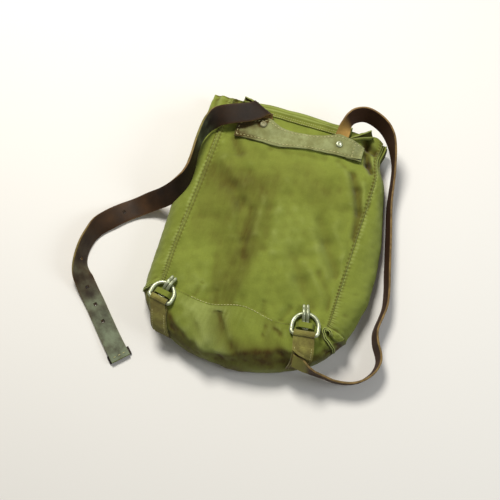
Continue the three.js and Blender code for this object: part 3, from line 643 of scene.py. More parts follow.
def panel_points(u, v):
    """Back panel between the side seams, the bottom seam and the edge of the mouth"""
    left, right = along(LEFT_SIDE, 1 - v)[..., :3], edge_rows(RIGHT_SIDE, v)[..., :3]
    bottom, top = along(BOTTOM_END, u)[..., :3], along(MOUTH_EDGE, u)
    rows = LEFT_SIDE[-1], RIGHT_SIDE[0], LEFT_SIDE[0], RIGHT_SIDE[-1]
    corners = [np.array(row[:3], float) for row in rows]
    u3, v3 = u[..., None], v[..., None]
    points = mix(left, right, u3) + mix(bottom, top, v3)
    points = points - mix(mix(corners[0], corners[1], u3), mix(corners[2], corners[3], u3), v3)
    x, y, z = points[..., 0], points[..., 1], points[..., 2]
    side = np.minimum(u, 1 - u)
    inside = smooth(side / 0.2) * smooth(v / 0.15) * smooth((1 - v) / 0.08)
    calm = smooth((side - 0.03) / 0.06) * smooth(v / 0.04) * smooth((1 - v) / 0.08)
    lap_width = np.where(u > 0.5, 0.014, 0.03)
    lap = hump(np.maximum(side - lap_width, 0) / 0.004) * smooth(np.minimum(v, 1 - v) / 0.05)
    lap = lap * smooth(side / 0.006)
    uneven = smooth(0.5 + 0.5 * rumple(v * PANEL_LENGTH, u * 0 + 40, 120, 9))
    strength = (0.2 + 0.3 * uneven) * np.where(u > 0.5, 1.3, 0.8)
    y = y + 4 * hump((x - 98) / 9) * smooth((v - 0.85) / 0.15)
    curl = 5 * hump((x - 100) / 9) * smooth((v - 0.9) / 0.1)
    z = z + PANEL_CROWN * 4 * u * (1 - u) * smooth((1 - v) / 0.5) * smooth(v / 0.25)
    z = z + lap + strength * puckers(u, v) * (0.7 * lap + 1.5 * hump((side - lap_width - 0.01) / 0.012))
    z = z - grooves(PANEL_PLEATS, x, y) * smooth((side - 0.015) / 0.03) * smooth((1 - v) / 0.02)
    z = z - grooves(PANEL_FOLDS, x, y) * inside - 1.8 * grooves(PANEL_CREASES, x, y) * calm + curl
    z = z + calm * (0.8 * rumple(x, y, 62, 1) + 0.3 * rumple(x, y, 23, 2))
    return np.stack([x, y, z], axis=-1)


def spread(*stretches):
    """Places from 0 to 1: each stretch is (end, number of cells)"""
    places, start = [np.zeros(1)], 0.0
    for end, count in stretches:
        places.append(np.linspace(start, end, count + 1)[1:])
        start = end
    return np.concatenate(places)


# Making pieces


def mesh_from(bm, name, finishes=()):
    """A mesh from a bmesh, which is freed, with its finishes by name"""
    mesh = bpy.data.meshes.new(name)
    bm.to_mesh(mesh)
    bm.free()
    for material in finishes:
        mesh.materials.append(finish(material))
    return mesh


def placed(name, data, home):
    """A new object in a collection"""
    item = bpy.data.objects.new(name, data)
    home.objects.link(item)
    return item


def object_from(bm, name, finishes, node=None):
    """A finished piece from a bmesh, riding on the pack"""
    piece = placed(name, mesh_from(bm, name, finishes), bpy.context.collection)
    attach(piece, "root")
    if node:
        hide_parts(node)
    return piece


def soften(bm):
    for face in bm.faces:
        face.smooth = True


def sheet_mesh(points, marks=None):
    """A grid of points (millimetres) as a bmesh with its thread lengths as UVs and marks on its points"""
    across, down = points.shape[:2]
    bm = bmesh.new()
    threads = bm.loops.layers.uv.new("threads")
    layers = {name: bm.verts.layers.float.new(name) for name in (marks or {})}
    bmesh.ops.create_grid(bm, x_segments=across - 1, y_segments=down - 1, size=0.5)
    if len(bm.verts) != across * down:
        raise RuntimeError("the grid has another number of points than the surface")
    flat = np.stack([lengths(points, 0), lengths(points, 1)], axis=-1) * MM
    cells = {}
    for vert in bm.verts:
        i = round((vert.co.x + 0.5) * (across - 1))
        j = round((vert.co.y + 0.5) * (down - 1))
        cells[vert] = (i, j)
        vert.co = Vector(points[i, j]) * MM
        for name, layer in layers.items():
            vert[layer] = marks[name][i, j]
    for face in bm.faces:
        face.smooth = True
        for loop in face.loops:
            loop[threads].uv = flat[cells[loop.vert]]
    return bm


def face_towards(bm, direction):
    """Turns a sheet over if it faces away from a direction, given as a function of a place"""
    bm.normal_update()
    score = sum(face.normal.dot(Vector(direction(face.calc_center_median()))) for face in bm.faces)
    if score < 0:
        bmesh.ops.reverse_faces(bm, faces=bm.faces[:])


def round_edges(piece, width, harden=True):
    """Rounds a piece's sharp edges"""
    edge = piece.modifiers.new("Edge", "BEVEL")
    edge.width, edge.segments = width * MM, 2
    edge.limit_method, edge.angle_limit = "ANGLE", EDGE_ANGLE
    edge.harden_normals = harden


def thicken(piece, thick, offset, bevel=0.0, finishes=(0, 0)):
    """Gives a sheet its thickness, and rounds its cut edges"""
    wall = piece.modifiers.new("Thickness", "SOLIDIFY")
    wall.thickness = thick * MM
    wall.offset = offset
    wall.use_even_offset = False
    wall.material_offset, wall.material_offset_rim = finishes
    if bevel:
        round_edges(piece, bevel)


def settle(piece):
    """Applies a piece's modifiers"""
    bpy.context.view_layer.update()
    shaped = piece.evaluated_get(bpy.context.evaluated_depsgraph_get())
    mesh = bpy.data.meshes.new_from_object(shaped)
    piece.modifiers.clear()
    rough, piece.data = piece.data, mesh
    bpy.data.meshes.remove(rough)


def frame_matrix(place, x_axis, y_axis, z_axis, scale=(1, 1, 1)):
    """A placing matrix in metres from a place in millimetres and three axes"""
    columns = [np.asarray(axis) * length for axis, length in zip((x_axis, y_axis, z_axis), scale)]
    columns = [Vector(column) * MM for column in columns] + [Vector(place) * MM]
    return Matrix([[column[k] for column in columns] for k in range(3)] + [[0, 0, 0, 1]])


QUARTER_TURN = Matrix.Rotation(math.pi / 2, 4, "Y")


def stitch_row(bm, line, outward, skip=1.35, scale=1.0):
    """Stitches along a line of points, each a flattened bead of thread"""
    line, outward = np.asarray(line, float), np.asarray(outward, float)
    distance = lengths(line[:, None], 0)[:, 0]
    long, wide = size("stitch") * scale, size("thread") * scale

    def at_distance(values, at):
        return np.array([np.interp(at, distance, values[:, i]) for i in range(3)])

    for at in np.arange(long / 2, distance[-1] - long / 2, long * skip):
        start, end = at_distance(line, at - long / 2), at_distance(line, at + long / 2)
        up, way = unit(at_distance(outward, at)), unit(end - start)
        side = unit(np.cross(up, way))
        middle = (start + end) / 2 + up * wide * 0.15
        matrix = frame_matrix(middle, way, side, np.cross(way, side), (long / 2, wide / 2, wide * 0.42))
        bmesh.ops.create_uvsphere(bm, u_segments=7, v_segments=5, radius=1, matrix=matrix @ QUARTER_TURN)


def stitches(name, rows, thread="pale_thread"):
    bm = bmesh.new()
    for row in rows:
        stitch_row(bm, *row)
    soften(bm)
    object_from(bm, name, [thread])


def surface_line(points, i=None, j=None, lift=0.0):
    """One row or column of a grid of points, with the surface's normals there"""
    out = normals(points)
    line, up = (points[i], out[i]) if i is not None else (points[:, j], out[:, j])
    up = up * np.sign(up[:, 2].sum() or 1)
    return line + up * lift, up


class Ground:
    """What lies under a place: a search tree over finished pieces, given by name"""

    def __init__(self, *names):
        bpy.context.view_layer.update()
        graph = bpy.context.evaluated_depsgraph_get()
        places, faces = [], []
        for name in names:
            shaped = bpy.data.objects[name].evaluated_get(graph)
            mesh = shaped.to_mesh()
            first = len(places)
            places += [vert.co.copy() for vert in mesh.vertices]
            faces += [[first + k for k in face.vertices] for face in mesh.polygons]
            shaped.to_mesh_clear()
        self.tree = BVHTree.FromPolygons(places, faces)

    def height(self, x, y):
        hit = self.tree.ray_cast(Vector((x, y, ABOVE_ALL)) * MM, Vector((0, 0, -1)))[0]
        return hit.z / MM if hit else 0.0

    def highest(self, middle, direction, half):
        places = [np.asarray(middle) + direction * half * k for k in (-1, -0.5, 0, 0.5, 1)]
        return max(self.height(place[0], place[1]) for place in places)

    def stands_out(self, middle, across, half, out):
        """How far the ground stands out of a straight line laid against it"""
        far, heights = 40.0, []
        for k in np.linspace(-1, 1, 7):
            start = middle + across * half * k + out * far
            hit = self.tree.ray_cast(Vector(start) * MM, Vector(-out), 2 * far * MM)
            heights.append(far - hit[3] / MM if hit[0] else -far)
        return max(heights)


def band_frames(centres, across, width):
    """Half width vectors and face normals of a band along its middle line"""
    tangent = unit(np.gradient(centres, axis=0))
    across = unit(across)
    slant = np.sqrt(1 - np.sum(across * tangent, axis=-1, keepdims=True) ** 2)
    face = unit(np.cross(tangent, across))
    return across * np.asarray(width).reshape(-1, 1) / 2 / slant, face


def band_points(centres, half, face, cells, cup=0.0):
    places = np.linspace(-1, 1, cells + 1)
    bowed = cup * (1 - places**2)
    return centres[:, None] + half[:, None] * places[None, :, None] + face[:, None] * bowed[None, :, None]


def along_face(centres, face):
    """Direction of a band's face, as a function of a place near the band"""

    def direction(place):
        away = np.sum((centres - np.array(place) / MM) ** 2, axis=1)
        return face[int(np.argmin(away))]

    return direction


def edges_of(verts):
    return list({edge for vert in verts for edge in vert.link_edges})


def extrude(bm, loop):
    """Extrudes a loop of edges: the new points and the new loop"""
    made = bmesh.ops.extrude_edge_only(bm, edges=loop)["geom"]
    verts = [item for item in made if isinstance(item, bmesh.types.BMVert)]
    edges = [item for item in made if isinstance(item, bmesh.types.BMEdge)]
    return verts, [edge for edge in edges if all(vert in verts for vert in edge.verts)]


def tube(bm, points, radius, sides=14):
    """A wire with rounded ends, extruded from a circle along its middle line"""
    run = lengths(points[:, None], 0)[:, 0]
    inset = np.clip(1 - np.minimum(run, run[-1] - run) / radius, 0, 0.96)
    radii = radius * np.sqrt(1 - inset**2)
    tangents = unit(np.gradient(points, axis=0))
    side = unit(np.cross(tangents[0], (0.3, 0.2, 1)))
    ring, before = None, None
    for point, tangent, wide in zip(points, tangents, radii):
        side = unit(side - tangent * side.dot(tangent))
        matrix = frame_matrix(point, side, np.cross(tangent, side), tangent, (wide,) * 3)
        if ring is None:
            made = bmesh.ops.create_circle(bm, cap_ends=True, segments=sides, radius=1, matrix=matrix)
            ring = edges_of(made["verts"])
        else:
            moved, ring = extrude(bm, ring)
            bmesh.ops.transform(bm, matrix=matrix @ before.inverted(), verts=moved)
        before = matrix
    bmesh.ops.edgeloop_fill(bm, edges=ring)
    bmesh.ops.recalc_face_normals(bm, faces=bm.faces[:])
    for item in bm.faces:
        item.smooth = len(item.verts) == 4


# Materials


class Value:
    """A socket of a finish; adding to it or multiplying it adds Math nodes"""

    def __init__(self, owner, socket):
        self.owner, self.socket = owner, socket

    def math(self, operation, *values):
        return self.owner.node("ShaderNodeMath", {"operation": operation}, dict(enumerate(values)))

    def __add__(self, other):
        return self.math("ADD", self, other)

    def __radd__(self, other):
        return self.math("ADD", other, self)

    def __mul__(self, other):
        return self.math("MULTIPLY", self, other)

    def __rmul__(self, other):
        return self.math("MULTIPLY", other, self)

    def sine(self):
        return self.math("SINE", self)

    def ease(self, low, high):
        """0 below low, 1 above high, smooth between"""
        return self.owner.node(
            "ShaderNodeMapRange",
            {"interpolation_type": "SMOOTHSTEP", "clamp": True},
            {"Value": self, "From Min": low, "From Max": high, "To Min": 0.0, "To Max": 1.0},
        )


class Finish:
    """A procedural material under construction"""

    def __init__(self, name):
        self.material = bpy.data.materials.new(name)
        self.material.use_nodes = True
        self.tree = self.material.node_tree
        self.tree.nodes.clear()
        self.place = self.node("ShaderNodeTexCoord", out="Object")

    def node(self, kind, options=None, inputs=None, out=0):
        node = self.tree.nodes.new(kind)
        for key, option in (options or {}).items():
            setattr(node, key, option)
        for key, value in (inputs or {}).items():
            socket = node.inputs[key]
            if isinstance(value, Value):
                self.tree.links.new(value.socket, socket)
            elif socket.type == "RGBA":
                socket.default_value = (*value, 1.0)
            else:
                socket.default_value = value
        return Value(self, node.outputs[out])

    def noise(self, scale, detail, rough, place=None):
        inputs = {"Vector": place or self.place, "Scale": scale, "Detail": detail, "Roughness": rough}
        return self.node("ShaderNodeTexNoise", None, inputs)

    def fibres(self, detail, rough, scale, turn=0.0):
        """Noise on object coordinates that are stretched along one way"""
        inputs = {"Vector": self.place, "Scale": scale, "Rotation": (0.0, 0.0, math.radians(turn))}
        return self.noise(1.0, detail, rough, self.node("ShaderNodeMapping", None, inputs))

    def mark(self, name):
        return self.node("ShaderNodeAttribute", {"attribute_name": name}, out="Fac")

    def threads(self):
        """Lengths along the two thread ways of a cloth, in metres"""
        lengths_map = self.node("ShaderNodeUVMap", {"uv_map": "threads"})
        parts = self.node("ShaderNodeSeparateXYZ", None, {"Vector": lengths_map})
        return parts, Value(self, parts.socket.node.outputs["Y"])

    def blend(self, share, first, second, way="MIX"):
        options = {"data_type": "RGBA", "blend_type": way}
        return self.node("ShaderNodeMix", options, {0: share, 6: first, 7: second}, out=2)

    def shaded(self, tone, value):
        """A colour times a grey value"""
        grey = self.node("ShaderNodeCombineColor", None, {"Red": value, "Green": value, "Blue": value})
        return self.blend(1.0, tone, grey, "MULTIPLY")

    def bump(self, height, distance, strength=1.0, under=None):
        inputs = {"Height": height, "Distance": distance * MM, "Strength": strength}
        if under:
            inputs["Normal"] = under
        return self.node("ShaderNodeBump", None, inputs)

    def close(self, colour_value, roughness, normal, **constants):
        inputs = {"Base Color": colour_value, "Roughness": roughness, "Normal": normal}
        inputs.update({key.replace("_", " "): value for key, value in constants.items()})
        shader = self.node("ShaderNodeBsdfPrincipled", None, inputs)
        output = self.tree.nodes.new("ShaderNodeOutputMaterial")
        self.tree.links.new(shader.socket, output.inputs["Surface"])
        return self.material


def hue(name):
    return tuple(getattr(settings().colours, name))


def canvas_finish(name, dirt_and_shade=0.0):
    f = Finish(name)
    soil, wear = f.mark("soil") + dirt_and_shade, f.mark("wear")
    cloud, patch, fleck = f.noise(11, 4, 0.6), f.noise(46, 5, 0.62), f.noise(520, 2, 0.5)
    warp, weft = f.threads()
    over = (warp * (math.pi / CANVAS_PITCH)).sine() * (weft * (math.pi / CANVAS_PITCH)).sine()
    slub = f.fibres(2, 0.5, (90, 900, 90)) + f.fibres(2, 0.5, (900, 90, 90))
    shade = (cloud * 0.55 + patch * 0.45).ease(0.34, 0.66)
    tone = f.blend(shade, hue("canvas_dark"), hue("canvas_light"))
    # worn places and painted highlight
    tone = f.blend((wear * (0.45 + 0.8 * patch)).ease(0.05, 1.1), tone, hue("canvas_worn_and_highlight"))
    streak = f.fibres(4, 0.6, (150, 34, 60), 8)
    # stains and painted shade
    tone = f.blend(soil * (0.1 + 0.95 * streak + 0.55 * patch), tone, hue("canvas_soil_and_shade"))
    tone = f.shaded(tone, 0.80 + 0.16 * fleck + 0.07 * over + 0.10 * slub)
    bend = f.bump(f.noise(140, 3, 0.6), 0.7, 0.35)
    cloth = f.bump(over * 0.6 + slub * 0.6, 0.22, 0.55, bend)
    sheen = {"Sheen_Weight": 0.12, "Sheen_Roughness": 0.5}
    return f.close(tone, 0.86 + 0.1 * patch, cloth, Specular_IOR_Level=0.2, **sheen)


def web_finish(name, light, dark, rib):
    f = Finish(name)
    soil = f.mark("soil")
    cloud, patch, fleck = f.noise(24, 4, 0.6), f.noise(95, 5, 0.65), f.noise(700, 2, 0.5)
    warp, weft = f.threads()
    wave = (weft * (math.pi / (rib * MM))).sine()
    ribs = wave * (warp * (math.pi / (rib * 0.6 * MM)) + wave).sine()
    shade = (cloud * 0.5 + patch * 0.5).ease(0.36, 0.64)
    tone = f.blend(shade, hue(dark), hue(light))
    # stains, and painted shadow and shade on the yoke and tabs
    tone = f.blend((soil * (0.4 + 1.1 * patch)).ease(0.05, 0.95), tone, hue("canvas_soil_and_shade"))
    tone = f.shaded(tone, 0.84 + 0.2 * fleck + 0.12 * ribs)
    cloth = f.bump(ribs, 0.35, 0.6, f.bump(patch, 0.6, 0.3))
    return f.close(tone, 0.84 + 0.1 * patch, cloth, Sheen_Weight=0.15, Specular_IOR_Level=0.25)


def grain_finish(name):
    f = Finish(name)
    rub, bloom, sewn = f.mark("rub"), f.mark("bloom"), f.mark("sewn")
    cloud, patch = f.noise(30, 4, 0.6), f.noise(150, 4, 0.6)
    cells = {"Vector": f.place, "Scale": 900.0}
    pores = f.node("ShaderNodeTexVoronoi", {"feature": "DISTANCE_TO_EDGE"}, cells)
    along_strap, across_strap = f.threads()
    stretch = {"X": along_strap * 700.0, "Y": across_strap * 120.0}
    crackle = f.noise(1.0, 3, 0.6, f.node("ShaderNodeCombineXYZ", None, stretch))
    tone = f.blend((cloud * 0.6 + patch * 0.4).ease(0.35, 0.7) * 0.08, hue("grain"), hue("grain_worn"))
    tone = f.blend(rub * (0.35 + 0.9 * cloud + 0.3 * patch), tone, hue("grain_worn"))
    # dull film with painted sheen and highlight
    tone = f.blend((bloom * (0.35 + patch * 1.1)).ease(0.1, 1.0) * 0.8, tone, hue("bloom"))
    tone = f.blend(sewn * (0.7 + 0.4 * patch), tone, hue("tab_light"))
    tone = f.shaded(tone, 0.75 + 0.45 * crackle)
    skin = f.bump(pores.ease(0.0, 0.25), 0.12, 0.5, f.bump(crackle, 0.35, 0.35))
    return f.close(tone, 0.5 + 0.2 * patch, skin, Specular_IOR_Level=0.2)


def flesh_finish(name):
    f = Finish(name)
    tan, sewn = f.mark("tan"), f.mark("sewn")
    cloud, fibre = f.noise(60, 4, 0.6), f.fibres(4, 0.7, (500, 160, 500))
    # painted shade of the flesh side, giving way to its own light brown
    tone = f.blend(tan * (0.75 + 0.5 * cloud), hue("flesh_shaded"), hue("flesh"))
    tone = f.blend(sewn * (0.7 + 0.4 * cloud), tone, hue("tab_light"))
    tone = f.shaded(tone, 0.72 + 0.5 * fibre)
    return f.close(tone, 0.7 + 0.2 * cloud, f.bump(fibre, 0.3, 0.5), Specular_IOR_Level=0.3)


def edge_finish(name):
    f = Finish(name)
    layers, patch = f.fibres(3, 0.6, (220, 220, 1400)), f.noise(120, 4, 0.6)
    # patches of the cut edge take the near-black shaded-flesh colour as a darker tone
    tone = f.blend(patch.ease(0.3, 0.75) * 0.7, hue("edge"), hue("flesh_shaded"))
    # greener edges where the strap has its film and painted sheen
    tone = f.blend(f.mark("bloom") * 0.9, tone, hue("canvas_dark"))
    tone = f.shaded(tone, 0.7 + 0.5 * layers)
    return f.close(tone, 0.6 + 0.2 * patch, f.bump(layers, 0.25, 0.5), Specular_IOR_Level=0.35)


def metal_finish(name, tarnished=0.0):
    f = Finish(name)
    cloud, patch = f.noise(90, 4, 0.6), f.noise(420, 4, 0.65)
    scratch = f.fibres(2, 0.5, (260, 2400, 900), 31).ease(0.58, 0.7)
    tarnish = (cloud * 0.6 + patch * 0.5).ease(0.45, 0.72)
    share = tarnished + tarnish * (0.75 - 0.5 * tarnished)
    tone = f.blend(share, hue("metal"), hue("brass" if tarnished else "metal_dull"))
    tone = f.blend(scratch * 0.35, tone, hue("metal"))
    pitted = f.bump(patch, 0.18, 0.5, f.bump(scratch, 0.05, 0.4))
    rough = 0.34 + 0.35 * tarnished + 0.3 * tarnish
    return f.close(tone, rough, pitted, Metallic=0.72 - 0.5 * tarnished)


def thread_finish(name, yarn, stained):
    f = Finish(name)
    patch, twist = f.noise(160, 3, 0.6), f.fibres(2, 0.5, (2600, 2600, 900), 24)
    tone = f.blend(patch.ease(0.35, 0.7) * 0.55, hue(yarn), hue(stained))
    tone = f.shaded(tone, 0.75 + 0.45 * twist)
    return f.close(tone, 0.75 + 0.15 * patch, f.bump(twist, 0.12, 0.6), Specular_IOR_Level=0.25)


FINISHES = {
    "field_canvas": canvas_finish,
    # darker canvas for the inside of rolled ends: grime and painted shade
    "soiled_canvas": lambda name: canvas_finish(name, 0.75),
    "yoke_webbing": lambda name: web_finish(name, "yoke_light", "yoke_dark", 1.5),
    "tab_webbing": lambda name: web_finish(name, "tab_light", "tab_dark", 1.3),
    "leather_grain": grain_finish,
    "leather_flesh": flesh_finish,
    "leather_edge": edge_finish,
    "dull_metal": metal_finish,
    "tarnished_metal": lambda name: metal_finish(name, 0.7),
    "pale_thread": lambda name: thread_finish(name, "thread", "canvas_light"),
    "seam_thread": lambda name: thread_finish(name, "thread_dark", "canvas_soil_and_shade"),
}


def finish(name):
    return bpy.data.materials.get(name) or FINISHES[name](name)


# Pieces


def canvas_sheet(name, node, points, facing, soil, wear, held, **resting):
    """A canvas wall: a sheet whose thickness goes inwards"""
    blank = np.zeros(points.shape[:2])
    bm = sheet_mesh(points, {"soil": blank + soil, "wear": blank + wear})
    face_towards(bm, facing)
    piece = object_from(bm, name, ["field_canvas"], node)
    thicken(piece, size("canvas"), -1, 0.3)


def outwards(place):
    return (place.x, place.y + 0.02, 0.06)


def upwards(place):
    return (0, 0, 1)


def bend_marks(points, scale):
    """Marks on the ridges and in the hollows of a surface, from how it bends; ridges are lightened as worn
    places and painted highlight, hollows darkened with grime and painted shade
    """
    out, bend = normals(points), 0
    for k in (0, 1):
        run = np.gradient(points, axis=k)
        turn = np.sum(np.gradient(out, axis=k) * run, axis=-1)
        bend = bend + turn / np.maximum(np.sum(run**2, axis=-1), 1e-9)
    bend = bend * np.sign(np.sum(out[..., 2]) or 1)
    return np.clip(bend * scale, 0, 1), np.clip(-bend * scale, 0, 1)


class FIELDPACK_OT_sack(bpy.types.Operator):
    """Makes the gussets, the bottom and the back and front panels"""

    bl_idname = "field_pack.sack"
    bl_label = "Sack"
    bl_options = {"REGISTER", "UNDO"}

    def execute(self, context):
        self.back_panel()
        self.bottom()
        self.gusset("left")
        self.gusset("right")
        self.front_panel()
        return {"FINISHED"}

    def back_panel(self):
        u, v = grid(spread((0.075, 22), (0.925, 96), (1, 22)), 250)
        points = panel_points(u, v)
        x, y = points[..., 0], points[..., 1]
        ridge, hollow = bend_marks(points, 6)
        side = np.minimum(u, 1 - u)
        # painted shadow in the valleys between the lapped seams' puckers: dark dots along the right seam, and
        # on the left a stained thread line deepened in the same valleys
        pucker_valley = smooth(0.5 - 0.9 * puckers(u, v))
        patchy = smooth(0.55 + 0.45 * rumple(v * PANEL_LENGTH, u * 0 + 9, 70, 14))
        pucker_shadows = hump((side - 0.02) / 0.007) * (0.2 + 1.9 * pucker_valley * (0.35 + 0.65 * patchy))
        thread_line = hump((side - 0.008) / 0.004) + 0.7 * hump((side - 0.033) / 0.005)
        line = np.where(u > 0.5, pucker_shadows, (0.3 + 0.4 * pucker_valley) * thread_line)
        soil = 1.35 * grooves(PANEL_STAINS_AND_FOLD_SHADE, x, y) * (0.9 + 0.15 * rumple(x, y, 34, 11))
        # grime and painted shade in the hollows
        soil = soil + 0.45 * hollow + 0.9 * line
        dull = smooth((on_line(DULL_EDGE, y) + 3 - x) / 12) * smooth((x + 106) / 14) * smooth((52 - y) / 16)
        dull = dull * smooth((y - on_line(DULL_FOOT, x)) / 34)
        soil = soil + dull * (0.42 + 0.1 * rumple(x, y, 42, 15))
        # painted shade in the pleats below the mouth, and darker towards the mouth
        soil = soil + 0.8 * grooves(PANEL_PLEATS, x, y) / 8 + 0.2 * smooth((v - 0.93) / 0.07)
        soil = 1 - np.exp(-soil)
        bleached = 0.3 * hump(np.hypot((x - 28) / 36, (y + 25) / 40))
        bleached = bleached + 0.25 * hump(np.hypot((x + 66) / 34, (y + 122) / 20))
        seams = 0.2 * hump((side - 0.025) / 0.02) * (0.6 + 0.4 * rumple(x, y, 30, 12))
        # ridges lighter: worn and painted highlight
        wear = bleached + 0.45 * ridge + seams
        canvas_sheet("canvas_back_panel", "back_panel", points, upwards, soil, wear, "stretched")
        rows = [surface_line(points, i=i, lift=0.05) for i in (2, 8, -4)]
        rows += [surface_line(part, j=3, lift=0.1) for part in (points[18:40], points[88:-18])]
        stitches("stitches_sides", rows, "seam_thread")
        stitches("stitches_bottom", [(*surface_line(points[40:88], j=3, lift=0.2), 1.2, 1.4)])

    def bottom(self):
        u, drop = grid(280, 100)
        points = bottom_points(u, drop)
        ridge, hollow = bend_marks(points, 7)
        x, y = u * CLOTH_WIDTH, drop * CLOTH_DROP
        # painted shade over the end that turns down to the floor, below the shade line
        underside_shade = smooth((y - on_line(BOTTOM_SHADE_LINE, x) + 3) / 9)
        # grime and painted shade in the hollows; stains and painted shade along the folds
        soil = 0.4 * hollow + 1.1 * grooves(BOTTOM_STAINS_AND_FOLD_SHADE, x, y)
        soil = soil + 0.85 * underside_shade * (0.8 + 0.25 * rumple(u * 260, drop * 80, 50, 13))
        # ridges lighter: worn and painted highlight
        wear = 0.4 * ridge + 0.2 * hump((drop - 0.02) / 0.05)
        wear = wear + 0.6 * hump((u - 0.3 - 0.3 * drop) / 0.1) * (1 - underside_shade)
        canvas_sheet("canvas_bottom", "bottom_panel", points, outwards, soil, wear, "stretched")

    def gusset(self, side):
        u, drop = grid(220, 60)
        points = gusset_points(side, u, drop)
        ridge, hollow = bend_marks(points, 7)
        # grime and painted shade in the hollows; darker towards the floor
        soil = 0.6 * hollow + 0.55 * smooth((drop - 0.55) / 0.3)
        # ridges lighter: worn and painted highlight
        wear = 0.5 * ridge + 0.3 * hump((drop - 0.02) / 0.05)
        names = f"canvas_gusset_{side}", f"gusset_{side}"
        canvas_sheet(*names, points, outwards, soil, wear, "stretched")

    def front_panel(self):
        u, v = grid(60, 80)
        way = 2 * v * 0.96
        low = (way - 1) / 2
        sides = []
        for rows, at, end_at in ((LEFT_SIDE, way, low), (RIGHT_SIDE, 1 - way, 1 - low)):
            upper = edge_rows(rows, np.clip(at, 0, 1))[..., 6:8]
            lower = along(BOTTOM_END, np.clip(end_at, 0, 1))[..., 6:8]
            foot = np.where((way < 1)[..., None], upper, lower)
            sides.append(foot - 1.2 * unit(foot))
        flat = mix(*sides, u[..., None])
        x, y = flat[..., 0], flat[..., 1]
        inside = np.minimum.reduce([x - FLAP_SIDES[0], FLAP_SIDES[1] - x, y - FLAP_PROFILE[-1][0]])
        canvas = size("canvas")
        z = (canvas + GAP) * smooth(1 + (inside + 26) / 16) + canvas
        points = np.concatenate([flat, z[..., None]], axis=-1)
        names = "canvas_front_panel", "front_panel"
        canvas_sheet(*names, points, upwards, 0, 0, "laid", rests_on=["canvas_flap"])


def rolled_end(name, ends, radii, lips, cloth):
    """A rolled corner of cloth; lips are the angles of its two edges, which stand apart on top, at both ends"""
    start, end = (np.array(place, float) for place in ends)
    axis = unit(end - start)
    side = unit(np.cross(axis, (0, 0, 1)))
    side = -side * np.sign(side[1])
    rise = np.cross(side, axis) * np.sign(np.cross(side, axis)[2])
    u, v = grid(24, 36)
    front, back = (mix(*pair, u**1.5) for pair in zip(*lips))
    angle = np.radians(mix(front, back - 360, v))
    radius = mix(*radii, u) * (1 + 0.06 * rumple(u * 30, v * 12, 14, 61))
    middle = start + (end - start) * u[..., None]
    points = middle + side * (radius * np.cos(angle))[..., None]
    points = points + rise * (0.8 * radius * np.sin(angle))[..., None]
    # the lips are lighter: worn rims with painted highlight
    lip = hump(v / 0.06) + hump((1 - v) / 0.06)

    def from_axis(place):
        away = np.array(place) / MM - start
        return away - axis * np.dot(away, axis)

    bm = sheet_mesh(points, {"soil": 0.35 * (1 - u), "wear": lip})
    face_towards(bm, from_axis)
    # the inner faces take the darker canvas: grime and painted shade inside the roll
    piece = object_from(bm, name, [cloth, "soiled_canvas"])
    thicken(piece, HEM_THICK, -1, 0.3, finishes=(1, 0))


class FIELDPACK_OT_flap(bpy.types.Operator):
    """Makes the flap, rolled round the mouth and turned under the pack"""

    bl_idname = "field_pack.flap"
    bl_label = "Flap"
    bl_options = {"REGISTER", "UNDO"}

    def execute(self, context):
        ground = Ground("canvas_back_panel")
        u, v = grid(110, spread((0.08, 14), (0.5, 60), (1, 40)))
        profile = along(FLAP_PROFILE, v)
        x = mix(*FLAP_SIDES, u)
        y, ride = profile[..., 0], profile[..., 1]
        columns = np.array([max(ground.height(place, row) for row in FLAP_SEAM) for place in x[:, 0]])
        columns = np.convolve(np.pad(columns, 4, mode="edge"), np.ones(9) / 9, mode="valid")
        sewn = np.minimum(y, FLAP_SEAM[0])
        rise = np.array([[ground.height(*place) for place in zip(*pair)] for pair in zip(x, sewn)])
        top = np.maximum(rise, columns[:, None] - 0.6) + 2 * GAP + size("canvas")
        lift = smooth((y - 139) / 5) * ride
        sag = 0.7 * rumple(x, y, 40, 21) * lift + 0.8 * hump(u / 0.04) * lift
        hem = 0.8 * hump((v - 0.135) / 0.018) * ride
        z = np.maximum(ride * top + sag + hem, 0)
        y = y + 0.8 * rumple(x, y * 0, 55, 22) * lift
        points = np.stack([x, y, z], axis=-1)
        ridge, hollow = bend_marks(points, 6)
        # grime and painted shade in the hollows; darker along the sewn edge
        soil = 0.3 * hollow + 0.3 * hump((v - 0.02) / 0.03)
        # ridges lighter: worn and painted highlight
        wear = 0.5 * ridge * (ride > 0.3) + 0.35 * hump((v - 0.14) / 0.05)
        under = ["canvas_back_panel"]
        canvas_sheet("canvas_flap", "flap", points, self.outside, soil, wear, "folded", rests_on=under)
        stitches("stitches_flap", [surface_line(points[2:-2], j=j, lift=0.1) for j in (3, 11)])
        for name, ends, radii, far_lips in (
            ("canvas_hem_left", ((-66, 143, 36), (-86, 144.5, 38)), (3.5, 4.8), (40, 125)),
            ("canvas_hem_right", ((63, 129, 36), (92, 145, 38)), (3, 6.5), (35, 130)),
        ):
            rolled_end(name, ends, radii, ((85, 95), far_lips), "field_canvas")
        return {"FINISHED"}

    def outside(self, place):
        return (0, place.y - 0.1, place.z - 0.016)


